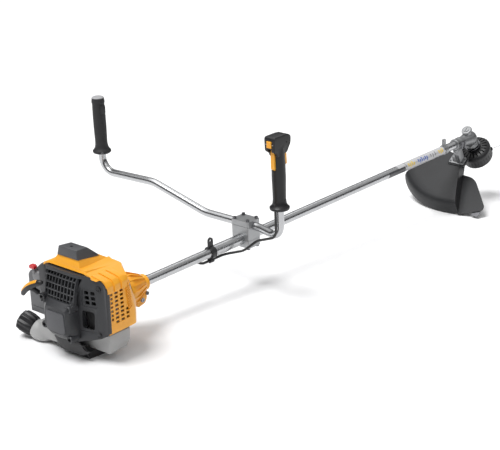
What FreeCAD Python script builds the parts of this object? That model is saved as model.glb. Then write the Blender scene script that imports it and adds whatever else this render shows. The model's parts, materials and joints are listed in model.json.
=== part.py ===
import FreeCAD, Part
import math
import os
import re

# String trimmer with a bicycle handlebar.  Built in the machine frame: origin on
# the drive-tube axis where the tube enters the clutch housing, X along the tube to
# the cutting head, Y to the left of the operator, Z up.  At the end every part is
# turned and shifted so the machine rests on its stand and guard on the floor.

SIZES = {
    # drive tube and its fittings
    "tube_dia": 26, "tube_wall": 1.6, "tube_end": 1416, "tube_start": -16,
    "sleeve_wall": 2.5, "sleeve_from": 250, "sleeve_to": 402,
    "band_at": 233, "band_width": 14, "eye_height": 34, "eye_dia": 8.4,
    "clip_gap": 92, "label_gap": 100, "label_length": 203, "stripe_length": 37,
    "shaft_dia": 8, "run_gap": 0.05,
    # handlebar
    "bar_dia": 22, "bar_wall": 1.8, "bar_at": 384, "bar_height": 38,
    "bar_left": 550, "bar_right": 148, "bar_rise": 52,
    "left_sweep": 12, "right_sweep": 28,
    "left_base": 143, "left_top": 313, "right_base": 121, "right_top": 328,
    "grip_dia": 37, "clamp_length": 48, "clamp_top": 54,
    # engine
    "crank_mid": -195, "shell": 2.5, "bore_dia": 34, "flywheel_dia": 96, "drum_dia": 62,
    "tank_rear": -240, "tank_front": -172, "tank_right": -108, "tank_left": 66,
    "tank_bottom": -90, "tank_top": -42,
    "filter_left": 168, "pull_length": 42,
    # cutting head and guard
    "case_reach": 58, "head_angle": 35, "head_dia": 110, "head_top": -44,
    "head_bottom": -104, "deck_level": -30, "deck_radius": 232, "skirt_radius": 250,
    "skirt_depth": 44, "guard_wall": 3, "case_radius": 25, "line_dia": 2.4,
    "line_reach": 200, "pinion_teeth": 15, "gear_teeth": 20,
}

V = FreeCAD.Vector
doc = FreeCAD.newDocument("string_trimmer")
sheet = doc.addObject("Spreadsheet::Sheet", "Dims")
for row, (alias, number) in enumerate(SIZES.items(), 1):
    sheet.set("A%d" % row, alias)
    sheet.set("B%d" % row, str(number))
    sheet.setAlias("B%d" % row, alias)
doc.recompute()

S = dict(SIZES)
NODES = {}
FRAMES = {"machine": FreeCAD.Placement()}
TURN = {
    "x": FreeCAD.Rotation(V(0, 1, 0), 90),
    "-x": FreeCAD.Rotation(V(0, 1, 0), -90),
    "y": FreeCAD.Rotation(V(1, 0, 0), -90),
    "-y": FreeCAD.Rotation(V(1, 0, 0), 90),
    "z": FreeCAD.Rotation(),
    "-z": FreeCAD.Rotation(V(1, 0, 0), 180),
}


# ---------------------------------------------------------------- small tools
def bind(obj, prop, value):
    """Set a number, or tie the property to the sheet when given an expression."""
    if isinstance(value, str):
        obj.setExpression(prop, re.sub(r"[a-z_]+", lambda m: "Dims." + m.group(0), value))
    elif "." in prop:
        obj.setExpression(prop, repr(float(value)))
    else:
        setattr(obj, prop, float(value))


def place(obj, at, axis):
    """Put an object at a point with its own Z turned to the given axis."""
    turn = TURN[axis] if isinstance(axis, str) else FreeCAD.Rotation(V(0, 0, 1), V(*axis))
    obj.Placement = FreeCAD.Placement(V(0, 0, 0), turn)
    for letter, value in zip("xyz", at):
        bind(obj, "Placement.Base." + letter, value)
    return obj


def cylinder(radius, height, at, axis="z"):
    obj = doc.addObject("Part::Cylinder", "cylinder")
    bind(obj, "Radius", radius)
    bind(obj, "Height", height)
    return place(obj, at, axis)


def cone(radius_1, radius_2, height, at, axis="z"):
    obj = doc.addObject("Part::Cone", "cone")
    bind(obj, "Radius1", radius_1)
    bind(obj, "Radius2", radius_2)
    bind(obj, "Height", height)
    return place(obj, at, axis)


def sphere(radius, at):
    obj = doc.addObject("Part::Sphere", "ball")
    bind(obj, "Radius", radius)
    return place(obj, at, "z")


def minus(high, low):
    """Difference of two sizes, kept as an expression when either one is."""
    if isinstance(high, str) or isinstance(low, str):
        return "(%s) - (%s)" % (high, low)
    return high - low


def box(x_span, y_span, z_span):
    obj = doc.addObject("Part::Box", "block")
    for prop, span in zip(("Length", "Width", "Height"), (x_span, y_span, z_span)):
        bind(obj, prop, minus(span[1], span[0]))
    return place(obj, (x_span[0], y_span[0], z_span[0]), "z")


def fuse(*parts):
    obj = doc.addObject("Part::MultiFuse", "joined")
    obj.Shapes = list(parts)
    obj.Refine = True
    return obj


def common(*parts):
    obj = doc.addObject("Part::MultiCommon", "shared")
    obj.Shapes = list(parts)
    return obj


def cut(base, *tools):
    obj = doc.addObject("Part::Cut", "trimmed")
    obj.Base = base
    obj.Tool = tools[0] if len(tools) == 1 else fuse(*tools)
    obj.Refine = True
    return obj


def group(*parts):
    obj = doc.addObject("Part::Compound", "several")
    obj.Links = list(parts)
    return obj


def ring(outer, inner, height, at, axis="z"):
    return cut(cylinder(outer, height, at, axis), cylinder(inner, height, at, axis))


def raw(shape, label="shape"):
    """A shape worked out with plain geometry, used where no tied object fits."""
    obj = doc.addObject("Part::Feature", label)
    obj.Shape = shape
    return obj


def profile(points, axis, start, length):
    """Closed outline pushed along an axis.  Points are the other two coordinates."""
    order = {"x": (lambda a, b: V(start, a, b)), "y": (lambda a, b: V(a, start, b)),
             "z": (lambda a, b: V(a, b, start))}[axis]
    corners = [order(*p) for p in points]
    face = raw(Part.Face(Part.makePolygon(corners + corners[:1])), "outline")
    obj = doc.addObject("Part::Extrusion", "pushed")
    obj.Base = face
    obj.DirMode = "Custom"
    obj.Dir = {"x": V(1, 0, 0), "y": V(0, 1, 0), "z": V(0, 0, 1)}[axis]
    bind(obj, "LengthFwd", length)
    obj.Solid = True
    return obj


def path_wire(points, radii):
    """Straight runs joined by tangent arcs, one radius per inner corner."""
    points = [V(*p) for p in points]
    edges = []
    last = points[0]
    for corner, before, after, radius in zip(points[1:-1], points, points[2:], radii):
        to_a = (before - corner).normalize()
        to_b = (after - corner).normalize()
        half = to_a.getAngle(to_b) / 2
        setback = radius / math.tan(half)
        p_in = corner + to_a * setback
        p_out = corner + to_b * setback
        middle = (to_a + to_b).normalize()
        p_mid = corner + middle * (radius / math.sin(half) - radius)
        edges.append(Part.makeLine(last, p_in))
        edges.append(Part.Arc(p_in, p_mid, p_out).toShape())
        last = p_out
    edges.append(Part.makeLine(last, points[-1]))
    return Part.Wire(edges)


def tube_along(points, radii, radius):
    wire = path_wire(points, radii)
    start = V(*points[0])
    way = V(*points[1]) - start
    disc = Part.Wire(Part.makeCircle(radius, start, way))
    return wire.makePipeShell([disc], True, False)


def softened(obj, radius, pick):
    """Round the edges of an object that the pick test accepts."""
    doc.recompute()
    edges = [e for e in obj.Shape.Edges if pick(e)]
    shape = obj.Shape.makeFillet(radius, edges)
    return raw(shape, "softened")


def upright(edge):
    ends = [v.Point for v in edge.Vertexes]
    return len(ends) == 2 and abs((ends[1] - ends[0]).normalize().z) > 0.99


def along_x(edge):
    ends = [v.Point for v in edge.Vertexes]
    return len(ends) == 2 and abs((ends[1] - ends[0]).normalize().x) > 0.99


def node(name, obj, frame="machine"):
    """Register one finished sub-part under its node name."""
    holder = doc.addObject("Part::Compound", name)
    holder.Label = name
    holder.Links = [obj]
    NODES[name] = (holder, frame)


def within(frame, obj):
    """Use a shape drawn in its own frame inside the machine frame."""
    holder = group(obj)
    holder.Placement = FRAMES[frame]
    return holder


def screw(at, axis, shank, length, head, head_height):
    """Socket screw: shank along the axis from the seat, head on the other side."""
    back = {"x": (-1, 0, 0), "-x": (1, 0, 0), "y": (0, -1, 0), "-y": (0, 1, 0),
            "z": (0, 0, -1), "-z": (0, 0, 1)}[axis]
    seat = [("(%s) + %s" % (p, b * head_height)) if isinstance(p, str)
            else p + b * head_height for p, b in zip(at, back)]
    body = fuse(cylinder(shank, length, at, axis), cylinder(head, head_height, seat, axis))
    return cut(body, cylinder(head * 0.5, head_height * 0.6, seat, axis))


# ------------------------------------------------------------------ frames
HEAD_X = S["tube_end"] + S["case_reach"]
FRAMES["head"] = FreeCAD.Placement(V(HEAD_X, 0, 0),
                                   FreeCAD.Rotation(V(0, 1, 0), -S["head_angle"]))
CAP_AXIS = V(-0.22, 0.90, 0.37).normalize()
FRAMES["cap"] = FreeCAD.Placement(V(-254, 180, -74), FreeCAD.Rotation(V(0, 0, 1), CAP_AXIS))
PULL_AXIS = V(-0.56, 0.46, 0.69).normalize()
PULL_BAR = V(0, 0.847, -0.53)
FRAMES["pull"] = FreeCAD.Placement(V(-290, 62, 40), FreeCAD.Rotation(
    PULL_BAR, V(0, 0, 0), PULL_AXIS, "ZXY"))

# ------------------------------------------------------- drive tube and fittings
TUBE = "tube_dia / 2"
node("drive_tube", ring(TUBE, "tube_dia / 2 - tube_wall", "tube_end - tube_start",
                        ("tube_start", 0, 0), "x"))
SLEEVE = "tube_dia / 2 + sleeve_wall"
node("grip_sleeve", ring(SLEEVE, TUBE, "sleeve_to - sleeve_from",
                         ("sleeve_from", 0, 0), "x"))
label_from = "tube_end - label_gap - label_length"
stripe_from = "tube_end - label_gap - label_length - 3 - stripe_length"
node("tube_labels", group(ring("tube_dia / 2 + 0.3", TUBE, "label_length",
                               (label_from, 0, 0), "x"),
                          ring("tube_dia / 2 + 0.3", TUBE, "stripe_length",
                               (stripe_from, 0, 0), "x")))

band_mid = "band_at + band_width / 2"
cable_hole_at = ("band_at", 0, "-tube_dia / 2 - 9")
band = fuse(cylinder("tube_dia / 2 + 4.5", "band_width", ("band_at", 0, 0), "x"),
            box(("band_at + band_width / 2 - 8.5", "band_at + band_width / 2 + 8.5"),
                (-2.5, 2.5), (10, "eye_height")),
            cylinder(8.5, 5, (band_mid, -2.5, "eye_height"), "y"),
            cylinder(7, "band_width", cable_hole_at, "x"))
node("carrying_ring", cut(band,
                          cylinder(TUBE, "band_width + 10", ("band_at - 5", 0, 0), "x"),
                          cylinder("eye_dia / 2", 20, (band_mid, -10, "eye_height"), "y"),
                          cylinder(3.6, "band_width", cable_hole_at, "x")))

clip_at = "tube_end - clip_gap"
clip = fuse(cylinder("tube_dia / 2 + 2.5", 12, (clip_at, 0, 0), "x"),
            box(("tube_end - clip_gap + 2", "tube_end - clip_gap + 8"), (-6, 6), (10, 30)),
            cylinder(6, 6, ("tube_end - clip_gap + 2", 0, 30), "x"))
node("tube_clip", cut(clip, cylinder(TUBE, 12, (clip_at, 0, 0), "x"),
                      cylinder(2.6, 10, (clip_at, 0, 30), "x")))

inner = "tube_dia / 2 - tube_wall"
bushing_places = (120, 420, 720, 1020, 1320)
node("shaft_bushings", group(*[ring(inner, "shaft_dia / 2 + run_gap", 22, (x, 0, 0), "x")
                               for x in bushing_places]))

# ------------------------------------------------------------ handlebar and clamp
BAR = "bar_dia / 2"
clamp_x = ("bar_at - clamp_length / 2", "bar_at + clamp_length / 2")
sleeve_hole = cylinder(SLEEVE, 80, ("bar_at - 40", 0, 0), "x")
bar_hole = cylinder(BAR, 90, ("bar_at", -45, "bar_height"), "y")
bolt_spots = [(sx, sy) for sx in ("bar_at - 18", "bar_at + 18") for sy in (-22.5, 24.5)]


def bolt_holes(radius):
    return [cylinder(radius, 140, (x, y, -60), "z") for x, y in bolt_spots]


saddle = softened(box(clamp_x, (-30, 32), (-22, -0.4)), 4, upright)
node("clamp_saddle", cut(saddle, sleeve_hole, *bolt_holes(3.1)))
base = softened(box(clamp_x, (-30, 32), (0.4, "bar_height - 0.4")), 4, upright)
node("clamp_base", cut(base, sleeve_hole, bar_hole, *bolt_holes(3.1)))
cap = softened(box(clamp_x, (-30, 32), ("bar_height + 0.4", "clamp_top")), 4, upright)
node("clamp_cap", cut(cap, bar_hole, *bolt_holes(3.1)))
node("clamp_bolts", group(*[fuse(screw((x, y, "clamp_top"), "-z", 3, "clamp_top + 28", 5, 5),
                                 cylinder(5, 5, (x, y, -27), "z"))
                            for x, y in bolt_spots]))

bar_x = S["bar_at"]
bar_z = S["bar_height"]
left_x = S["bar_at"] - S["left_sweep"]
grip_x = S["bar_at"] - S["right_sweep"]
bar_route = [(left_x, S["bar_left"], S["left_top"] - 12),
             (left_x, S["bar_left"] - 3, bar_z + S["bar_rise"] - 4),
             ((left_x + bar_x) / 2, 345, bar_z + S["bar_rise"]),
             (bar_x, 150, bar_z),
             (bar_x, -50, bar_z),
             (grip_x, -S["bar_right"], bar_z),
             (grip_x, -S["bar_right"], S["right_base"] + 70)]
bar_bends = (44, 110, 110, 60, 42)
bar_outer = raw(tube_along(bar_route, bar_bends, S["bar_dia"] / 2), "bar_outer")
bar_inner = raw(tube_along(bar_route, bar_bends, S["bar_dia"] / 2 - S["bar_wall"]),
                "bar_inner")
node("handlebar", cut(bar_outer, bar_inner))


def grip_body(x, y, bottom, top, flange=27):
    """Plain grip: wide flange at the foot, waist, slight swell, collar on top."""
    rise = "(%s) - (%s)" % (top, bottom)
    foot = cylinder(flange, 8, (x, y, bottom), "z")
    flare = cone(flange, "grip_dia / 2", 12, (x, y, "(%s) + 8" % bottom), "z")
    body = cylinder("grip_dia / 2", rise, (x, y, bottom), "z")
    return fuse(foot, flare, body)


left_y = "bar_left"
left = grip_body("bar_at - left_sweep", left_y, "left_base", "left_top - 5")
doc.recompute()
left_bore = raw(tube_along(bar_route, bar_bends, S["bar_dia"] / 2), "left_bore")
node("left_grip", cut(left, left_bore))
node("left_grip_cap", cylinder("grip_dia / 2 - 0.5", 5,
                               ("bar_at - left_sweep", left_y, "left_top - 5")))

def from_grip(ahead):
    """Place along the tube, measured from the axis of the right grip."""
    return "bar_at - right_sweep + %s" % ahead


right_y = "-bar_right"
body = grip_body(from_grip(0), right_y, "right_base", "right_top - 40")
hood = softened(box((from_grip(-34), from_grip(34)), ("-bar_right - 20", "-bar_right + 20"),
                    ("right_top - 56", "right_top")), 12, upright)
hood = softened(hood, 7, lambda e: e.CenterOfMass.z > S["right_top"] - 0.5)
underside = profile([(grip_x - 40, S["right_top"] - 56), (grip_x - 40, S["right_top"] - 34),
                     (grip_x - 19, S["right_top"] - 56)], "y", -S["bar_right"] - 30, 60)
under_front = profile([(grip_x + 40, S["right_top"] - 57), (grip_x + 40, S["right_top"] - 40),
                       (grip_x + 19, S["right_top"] - 57)], "y", -S["bar_right"] - 30, 60)
grip = fuse(body, cut(hood, underside, under_front))
lever_y = ("-bar_right - 6.5", "-bar_right + 6.5")
room = box((from_grip(-12), from_grip(12)), ("-bar_right - 10", "-bar_right + 10"),
           ("right_base + 80", "right_top - 10"))
rear_slot = box((from_grip(-40), from_grip(0)), lever_y, ("right_top - 96", "right_top - 32"))
front_slot = box((from_grip(0), from_grip(40)), lever_y, ("right_top - 92", "right_top - 40"))
switch_slot = box((from_grip(-40), from_grip(0)), ("-bar_right - 8.5", "-bar_right + 8.5"),
                  ("right_top - 31", "right_top - 11"))
right_bore = raw(tube_along(bar_route, bar_bends, S["bar_dia"] / 2), "right_bore")
cable_bore = cylinder(3.55, 30, (from_grip(-17.5), right_y, "right_base - 2"), "z")
pin_y = "-bar_right - 13"


def lever_pins():
    return [cylinder(2, 26, (from_grip(16), pin_y, "right_top - 47"), "y"),
            cylinder(2, 26, (from_grip(-17), pin_y, "right_top - 39"), "y"),
            cylinder(1.5, 26, (from_grip(-33), pin_y, "right_top - 21"), "y")]


node("lever_pins", group(*lever_pins()))
node("right_grip", cut(grip, room, rear_slot, front_slot, switch_slot, right_bore,
                       cable_bore, *lever_pins()))
trigger = profile([(grip_x + 12.5, S["right_top"] - 50.5), (grip_x + 12.5, S["right_top"] - 43),
                   (grip_x + 22, S["right_top"] - 43), (grip_x + 27, S["right_top"] - 60),
                   (grip_x + 28, S["right_top"] - 86), (grip_x + 23, S["right_top"] - 87),
                   (grip_x + 20, S["right_top"] - 62)],
                  "y", -S["bar_right"] - 5.5, 11)
node("throttle_trigger", cut(trigger, cylinder("2 + run_gap", 20,
                                               (from_grip(16), "-bar_right - 10",
                                                "right_top - 47"), "y")))
lockout = profile([(grip_x - 13, S["right_top"] - 35), (grip_x - 21.5, S["right_top"] - 35),
                   (grip_x - 24, S["right_top"] - 52), (grip_x - 24, S["right_top"] - 90),
                   (grip_x - 20, S["right_top"] - 94), (grip_x - 17, S["right_top"] - 90),
                   (grip_x - 18, S["right_top"] - 52), (grip_x - 13, S["right_top"] - 43)],
                  "y", -S["bar_right"] - 5.5, 11)
node("lockout_lever", cut(lockout, cylinder("2 + run_gap", 20,
                                            (from_grip(-17), "-bar_right - 10",
                                             "right_top - 39"), "y")))
switch = softened(box((from_grip(-37.5), from_grip(-30)),
                      ("-bar_right - 7.5", "-bar_right + 7.5"),
                      ("right_top - 30", "right_top - 12")), 2,
                  lambda e: e.CenterOfMass.x < grip_x - 37)
node("stop_switch", cut(switch, cylinder("1.5 + run_gap", 20,
                                         (from_grip(-33), "-bar_right - 10",
                                          "right_top - 21"), "y")))

# ------------------------------------------------------------- clutch housing
housing = fuse(cylinder(58, 12, (-108, 0, 0), "x"),
               cone(58, 43, 28, (-96, 0, 0), "x"),
               cone(43, 24, 48, (-68, 0, 0), "x"),
               cylinder(21, 20, (-20, 0, 0), "x"),
               box((-38, -8), (-10, 10), (-36, 0)))
for spoke in range(12):
    rib = profile([(-64, 40), (-64, 45), (-22, 25), (-22, 18)], "y", -1.5, 3)
    rib = group(rib)
    rib.Placement = FreeCAD.Placement(V(0, 0, 0), FreeCAD.Rotation(V(1, 0, 0), 30 * spoke + 15))
    housing = fuse(housing, rib)
housing = cut(housing,
              cylinder(54, 14, (-109, 0, 0), "x"),
              cone(54, 40, 30, (-97, 0, 0), "x"),
              cone(40, 34, 10, (-67.5, 0, 0), "x"),
              cylinder(18, 24, (-58, 0, 0), "x"),
              cylinder(TUBE, 30, (-16, 0, 0), "x"),
              cylinder(12, 40, (-40, 0, 0), "x"),
              box((-21, 2), (-0.8, 0.8), (-40, 0)),
              cylinder(3.1, 40, (-14, -20, -27), "y"))
node("clutch_housing", housing)
SCREWS = [screw((-14, -10, -27), "y", 3, 26, 5, 5)]
BEARINGS = [ring(18, "shaft_dia / 2 + 4 + run_gap", 8, (x, 0, 0), "x") for x in (-56, -44)]

# --------------------------------------------------- turning parts of the engine
drum = cut(cylinder("drum_dia / 2", 26, (-92, 0, 0), "x"),
           cylinder("drum_dia / 2 - 2.5", 22, (-92, 0, 0), "x"))
node("clutch_drum", cut(fuse(drum, cylinder("shaft_dia / 2 + 4", 34, (-68, 0, 0), "x")),
                        cylinder("shaft_dia / 2", 60, (-80, 0, 0), "x")))
shoe_ring = ring("drum_dia / 2 - 3.6", 13, 16, (-90, 0, 0), "x")
gap = box((-95, -70), (-2, 2), (-40, 40))
node("clutch_shoes", cut(shoe_ring, gap))
wheel = cut(cylinder("flywheel_dia / 2", 6, (-124, 0, 0), "x"),
            cylinder(7.5, 10, (-126, 0, 0), "x"))
vanes = []
for k in range(12):
    vane = group(box((-118.2, -106), (-1, 1), (24, "flywheel_dia / 2 - 1")))
    vane.Placement = FreeCAD.Placement(V(0, 0, 0), FreeCAD.Rotation(V(1, 0, 0), 30 * k))
    vanes.append(vane)
hub = ring(14, 7.5, 20, (-119, 0, 0), "x")
node("flywheel", fuse(wheel, hub, *vanes))
crank = fuse(cylinder(7.5, "crank_mid - 10 + 274", (-274, 0, 0), "x"),
             cylinder(23, 9, ("crank_mid - 14", 0, 0), "x"),
             cylinder(23, 9, ("crank_mid + 5", 0, 0), "x"),
             cylinder(6, 24, ("crank_mid - 12", 0, 12), "x"),
             cylinder(7.5, "-crank_mid - 5 - 76", ("crank_mid + 5", 0, 0), "x"),
             cylinder(12.6, 16, (-90, 0, 0), "x"))
flats = [box(("crank_mid - 15", "crank_mid + 15"), span, (2, 30)) for span in ((11, 30), (-30, -11))]
node("crankshaft", cut(crank, *flats))

# ----------------------------------------------------------- crankcase, cylinder
case = fuse(cylinder(36, 72, ("crank_mid - 36", 0, 0), "x"),
            box(("crank_mid - 30", "crank_mid + 30"), (-30, 30), (0, 41)),
            box(("crank_mid - 30", "crank_mid + 30"), (-34, 34), (-38, -20)))
node("crankcase", cut(case,
                      cylinder(27, 44, ("crank_mid - 22", 0, 0), "x"),
                      cylinder("7.5 + run_gap", 90, ("crank_mid - 45", 0, 0), "x"),
                      cylinder("bore_dia / 2", 60, ("crank_mid", 0, 0), "z")))
fins = [box(("crank_mid - 32", "crank_mid + 32"), (-34, 34), (z, z + 2))
        for z in range(50, 99, 6)]
barrel = fuse(cylinder(24, 60, ("crank_mid", 0, 41), "z"),
              box(("crank_mid - 28", "crank_mid + 28"), (-28, 28), (41, 45)),
              box(("crank_mid - 12", "crank_mid + 12"), (-36, 36), (52, 68)), *fins)
node("cylinder", cut(barrel,
                     cylinder("bore_dia / 2", 56, ("crank_mid", 0, 41), "z"),
                     cylinder(7, 30, ("crank_mid", 0, 90), "z"),
                     cylinder(7, 90, ("crank_mid", -45, 60), "y")))
node("piston", cut(cylinder("bore_dia / 2 - 0.05", 26, ("crank_mid", 0, 68.5), "z"),
                   cylinder("bore_dia / 2 - 3", 21, ("crank_mid", 0, 68.5), "z")))
node("spark_plug", fuse(cylinder(7, 9, ("crank_mid", 0, 96.5), "z"),
                        cylinder(9.5, 7, ("crank_mid", 0, 101), "z"),
                        cylinder(5, 18, ("crank_mid", 0, 106), "z")))
node("ignition_coil", fuse(box((-124, -112), (-14, 14), ("flywheel_dia / 2 + 0.8", 62)),
                           box((-132, -110), (-11, 11), (56, 72))))

# ------------------------------------------------------------- fuel and exhaust
node("muffler", fuse(softened(box((-240, -158), (-108, -56), (-24, 74)), 8, along_x),
                     box(("crank_mid - 12", "crank_mid + 12"), (-57, -36), (50, 70)),
                     cylinder(6, 6, (-245, -60, 2), "x")))
carb = fuse(box(("crank_mid - 18", "crank_mid + 18"), (52, 84), (42, 78)),
            box(("crank_mid - 13", "crank_mid + 13"), (36, 52), (48, 72)),
            cylinder(10, 8, ("crank_mid - 6", 67, 34), "z"))
node("carburettor", cut(carb, cylinder(7, 60, ("crank_mid", 34, 60), "y"),
                        cylinder("2 + run_gap", 14, ("crank_mid + 10", 67, 66), "z")))
node("throttle_arm", fuse(cylinder(2, 18, ("crank_mid + 10", 67, 67), "z"),
                          box(("crank_mid + 6", "crank_mid + 14"), (63, 82), (79, 82))))
FILTER = [(84.4, -40), (S["filter_left"], -40), (S["filter_left"], 62), (160, 72), (138, 82),
          (118, 100), (112, 103.5), (84.4, 103.5)]
FILTER_IN = [(88, -34), (S["filter_left"] - 3, -34), (S["filter_left"] - 3, 61), (158.5, 69.3),
             (136.5, 79.2), (116.5, 97.1), (110, 100.5), (88, 100.5)]
choke_axis = (-250, 129, 63)
cover_f = cut(profile(FILTER, "x", -248, 94), profile(FILTER_IN, "x", -244, 86))
node("filter_cover", cut(cover_f, cylinder("2 + run_gap", 12, choke_axis, "x"),
                         cylinder(7, 20, ("crank_mid", 80, 60), "y")))
node("choke_lever", fuse(cylinder(2, 10, (-253, 129, 63), "x"),
                         cylinder(16, 4, (-253, 129, 63), "x"),
                         box((-253, -249), (131, 141), (70, 90)),
                         box((-260, -249), (127, 146), (83, 95))))

tank = softened(box(("tank_rear", "tank_front"), ("tank_right", "tank_left"),
                    ("tank_bottom", "tank_top")), 12, upright)
tank_lobe = softened(box(("tank_rear", "tank_rear + 62"), (40, 156),
                         ("tank_bottom - 4", "tank_top - 4")), 14, along_x)
neck_out = within("cap", cylinder(17, 46, (0, 0, -42), "z"))
neck_in = within("cap", cylinder(14, 70, (0, 0, -46), "z"))
tank_in = softened(box(("tank_rear + shell", "tank_front - shell"),
                       ("tank_right + shell", "tank_left - shell"),
                       ("tank_bottom + shell", "tank_top - shell")), 9, upright)
lobe_in = softened(box(("tank_rear + shell", "tank_rear + 62 - shell"),
                       (37, "156 - shell"),
                       ("tank_bottom - 4 + shell", "tank_top - 4 - shell")), 11, along_x)
node("fuel_tank", cut(fuse(tank, tank_lobe, neck_out), tank_in, lobe_in, neck_in))
knobs = [cylinder(6, 22, (24 * math.cos(k * math.pi / 3), 24 * math.sin(k * math.pi / 3), -5), "z")
         for k in range(6)]
node("fuel_cap", cut(fuse(cylinder(26, 22, (0, 0, -5), "z"), *knobs),
                     cylinder(17.4, 13, (0, 0, -6), "z")), "cap")

# ------------------------------------------------------------ stand and covers
# the sole slopes so that it lies flat on the floor in the resting pose
foot = profile([(-270, -70), (-266, -70), (-249, -108), (-180, -112.2), (-180, -116.2),
                (-252, -112)], "y", -46, 106)
foot_side = [profile([(-249, -108), (-180, -112.2), (-180, -94), (-252, -94)], "y", y, 4)
             for y in (-46, 56)]
node("stand", fuse(foot, *foot_side))

under_tube = -S["tube_dia"] / 2 - 9
beside_tube = S["tube_dia"] / 2 + 7
CABLE_ROUTE = [(grip_x - 17.5, -S["bar_right"], S["right_base"] + 20),
               (grip_x - 17.5, -S["bar_right"], 46),
               (grip_x - 8, -72, 16), (332, -36, under_tube + 6),
               (292, 0, under_tube), (206, 0, under_tube), (176, beside_tube, -6),
               (24, beside_tube, -2), (-60, 60, 22), (-140, 76, 62)]
CABLE_BENDS = (30, 30, 30, 40, 22, 22, 60, 60)
CABLE = raw(tube_along(CABLE_ROUTE, CABLE_BENDS, 3.5), "conduit")
CABLE_ROOM = raw(tube_along(CABLE_ROUTE, CABLE_BENDS, 4.2), "conduit_room")
node("throttle_cable", CABLE)

OUT = [(-122, -38), (-122, 90), (-100, 106), (-64, 124), (44, 128), (78, 118), (90, 96), (90, 58)]
INS = [(-119, -40), (-119, 89), (-98, 103), (-63, 121), (43, 125), (76, 115.5), (87, 95), (87, 56)]
PLAN_OUT = [(-262, -124), (-168, -124), (-92, -58), (-92, 56), (-132, 92), (-262, 92)]
PLAN_INS = [(-270, -121), (-169, -121), (-94.6, -56), (-94.6, 54), (-133, 89), (-270, 89)]
SIDE_OUT = [(-262, -39), (-262, 122), (-252, 129), (-176, 129), (-120, 98), (-92, 62), (-92, -10),
            (-170, -39)]
SIDE_INS = [(-270, -42), (-270, 118), (-251, 126), (-177, 126), (-122, 95), (-94.6, 60),
            (-94.6, -42)]


def cover_block(section, plan, side):
    return common(profile(section, "x", -275, 200), profile(plan, "z", -60, 220),
                  profile(side, "y", -140, 260))


slots = []
for column in range(4):
    for line in range(7):
        slots.append(box((-236 + 16 * column, -226 + 16 * column), (-130, -110),
                         (-14 + 13 * line + 2 * column, -7 + 13 * line + 2 * column)))
top_hole = box((-262 + 12, -190), (-28, 26), (100, 140))
node("engine_cover", cut(cover_block(OUT, PLAN_OUT, SIDE_OUT),
                         cover_block(INS, PLAN_INS, SIDE_INS),
                         box((-262, -92), (-80, 120), (-60, 52)),
                         box((-275, -240.6), (-130, 130), (-60, 104)),
                         box((-275, -140), (78, 120), (-60, 104)),
                         cylinder(59, 40, (-120, 0, 0), "x"), top_hole, CABLE_ROOM, *slots))
cap_out = Part.makeLoft([Part.makePolygon([V(x, y, z) for x, y in pts] + [V(*pts[0], z)])
                         for pts, z in (([(-262, -38), (-184, -42), (-184, 38), (-262, 36)], 130),
                                        ([(-257, -34), (-214, -34), (-214, 30), (-257, 30)], 174))],
                        True)
cap_ins = Part.makeLoft([Part.makePolygon([V(x, y, z) for x, y in pts] + [V(*pts[0], z)])
                         for pts, z in (([(-259, -35), (-188, -38), (-188, 34), (-259, 33)], 129.9),
                                        ([(-254, -31), (-218, -31), (-218, 27), (-254, 27)], 171))],
                        True)
node("top_cap", cut(raw(cap_out), raw(cap_ins), cylinder(4, 20, (-240, 0, 160), "z")))

REAR = [(-121.6, -30), (-121.6, 84), (-108, 98), (-64, 112), (60, 114), (80, 102), (84, 60),
        (84, -20), (70, -56), (40, -66), (-11, -66)]
REAR_IN = [(-118.5, -28), (-118.5, 82.7), (-106, 95.4), (-63.5, 109), (58.8, 111), (77.4, 100),
           (81, 60), (81, -19), (68, -53.5), (39, -63), (-10, -63)]
panel = cut(profile(REAR, "x", -256, 15), profile(REAR_IN, "x", -252.5, 30),
            cylinder(60, 8, (-258, 0, 0), "x"), box((-258, -250), (-57, 57), (0, 106)))
hood_side = [(-256, 112), (-264, 112), (-302, 50), (-302, -30), (-256, -50)]
hood_in = [(-250, 108), (-261, 108), (-299, 49), (-299, -28), (-250, -46)]
dome = fuse(cone(70, 64, 46, (-256, 0, 0), "-x"), cylinder(42, 55.5, (-256, 0, 0), "-x"),
            profile(hood_side, "y", -60, 120))
dome_in = fuse(cone(67, 61, 43, (-256, 0, 0), "-x"), profile(hood_in, "y", -57, 114),
               cylinder(66, 6, (-258, 0, 0), "x"))
panes = []
for column in range(8):
    for low, high in ((52, 64), (67, 79), (82, 93), (96, 104)):
        panes.append(box((-310, -256), (-54 + 13.6 * column, -45.5 + 13.6 * column), (low, high)))
panes += [box((-260, -250), (-78, -36), (-30, 14))]
panes += [box((-260, -250), (y, y + 12), (z, z + 10)) for y in (-80, -64) for z in (26, 40, 54)]
guide_hole = within("pull", cylinder(3.2, 30, (0, 0, -20), "z"))
screw_spots = [(-108, 78), (-110, -16), (72, 90), (60, -50)]
bosses = [cylinder(6, 11, (-255, y, z), "x") for y, z in screw_spots]
recesses = [fuse(cylinder(4.3, 8, (-260, y, z), "x"), cylinder(3.1, 20, (-256, y, z), "x"))
            for y, z in screw_spots]
post = fuse(cylinder(5, 20, (-300, 0, 0), "x"), cylinder(9, 3, (-281, 0, 0), "x"))
node("starter_cover", fuse(cut(fuse(panel, cut(dome, dome_in), *bosses), *panes, guide_hole, *recesses,
                               cylinder(4, 20, (-256, 84, 60), "x")), post))
SCREWS += [screw((-252, y, z), "x", 3, 10, 4, 3) for y, z in screw_spots]
badge = softened(box((-314, -311.6), (-29, 29), (-24, 24)), 6, along_x)
node("badge_plate", badge)

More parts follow.
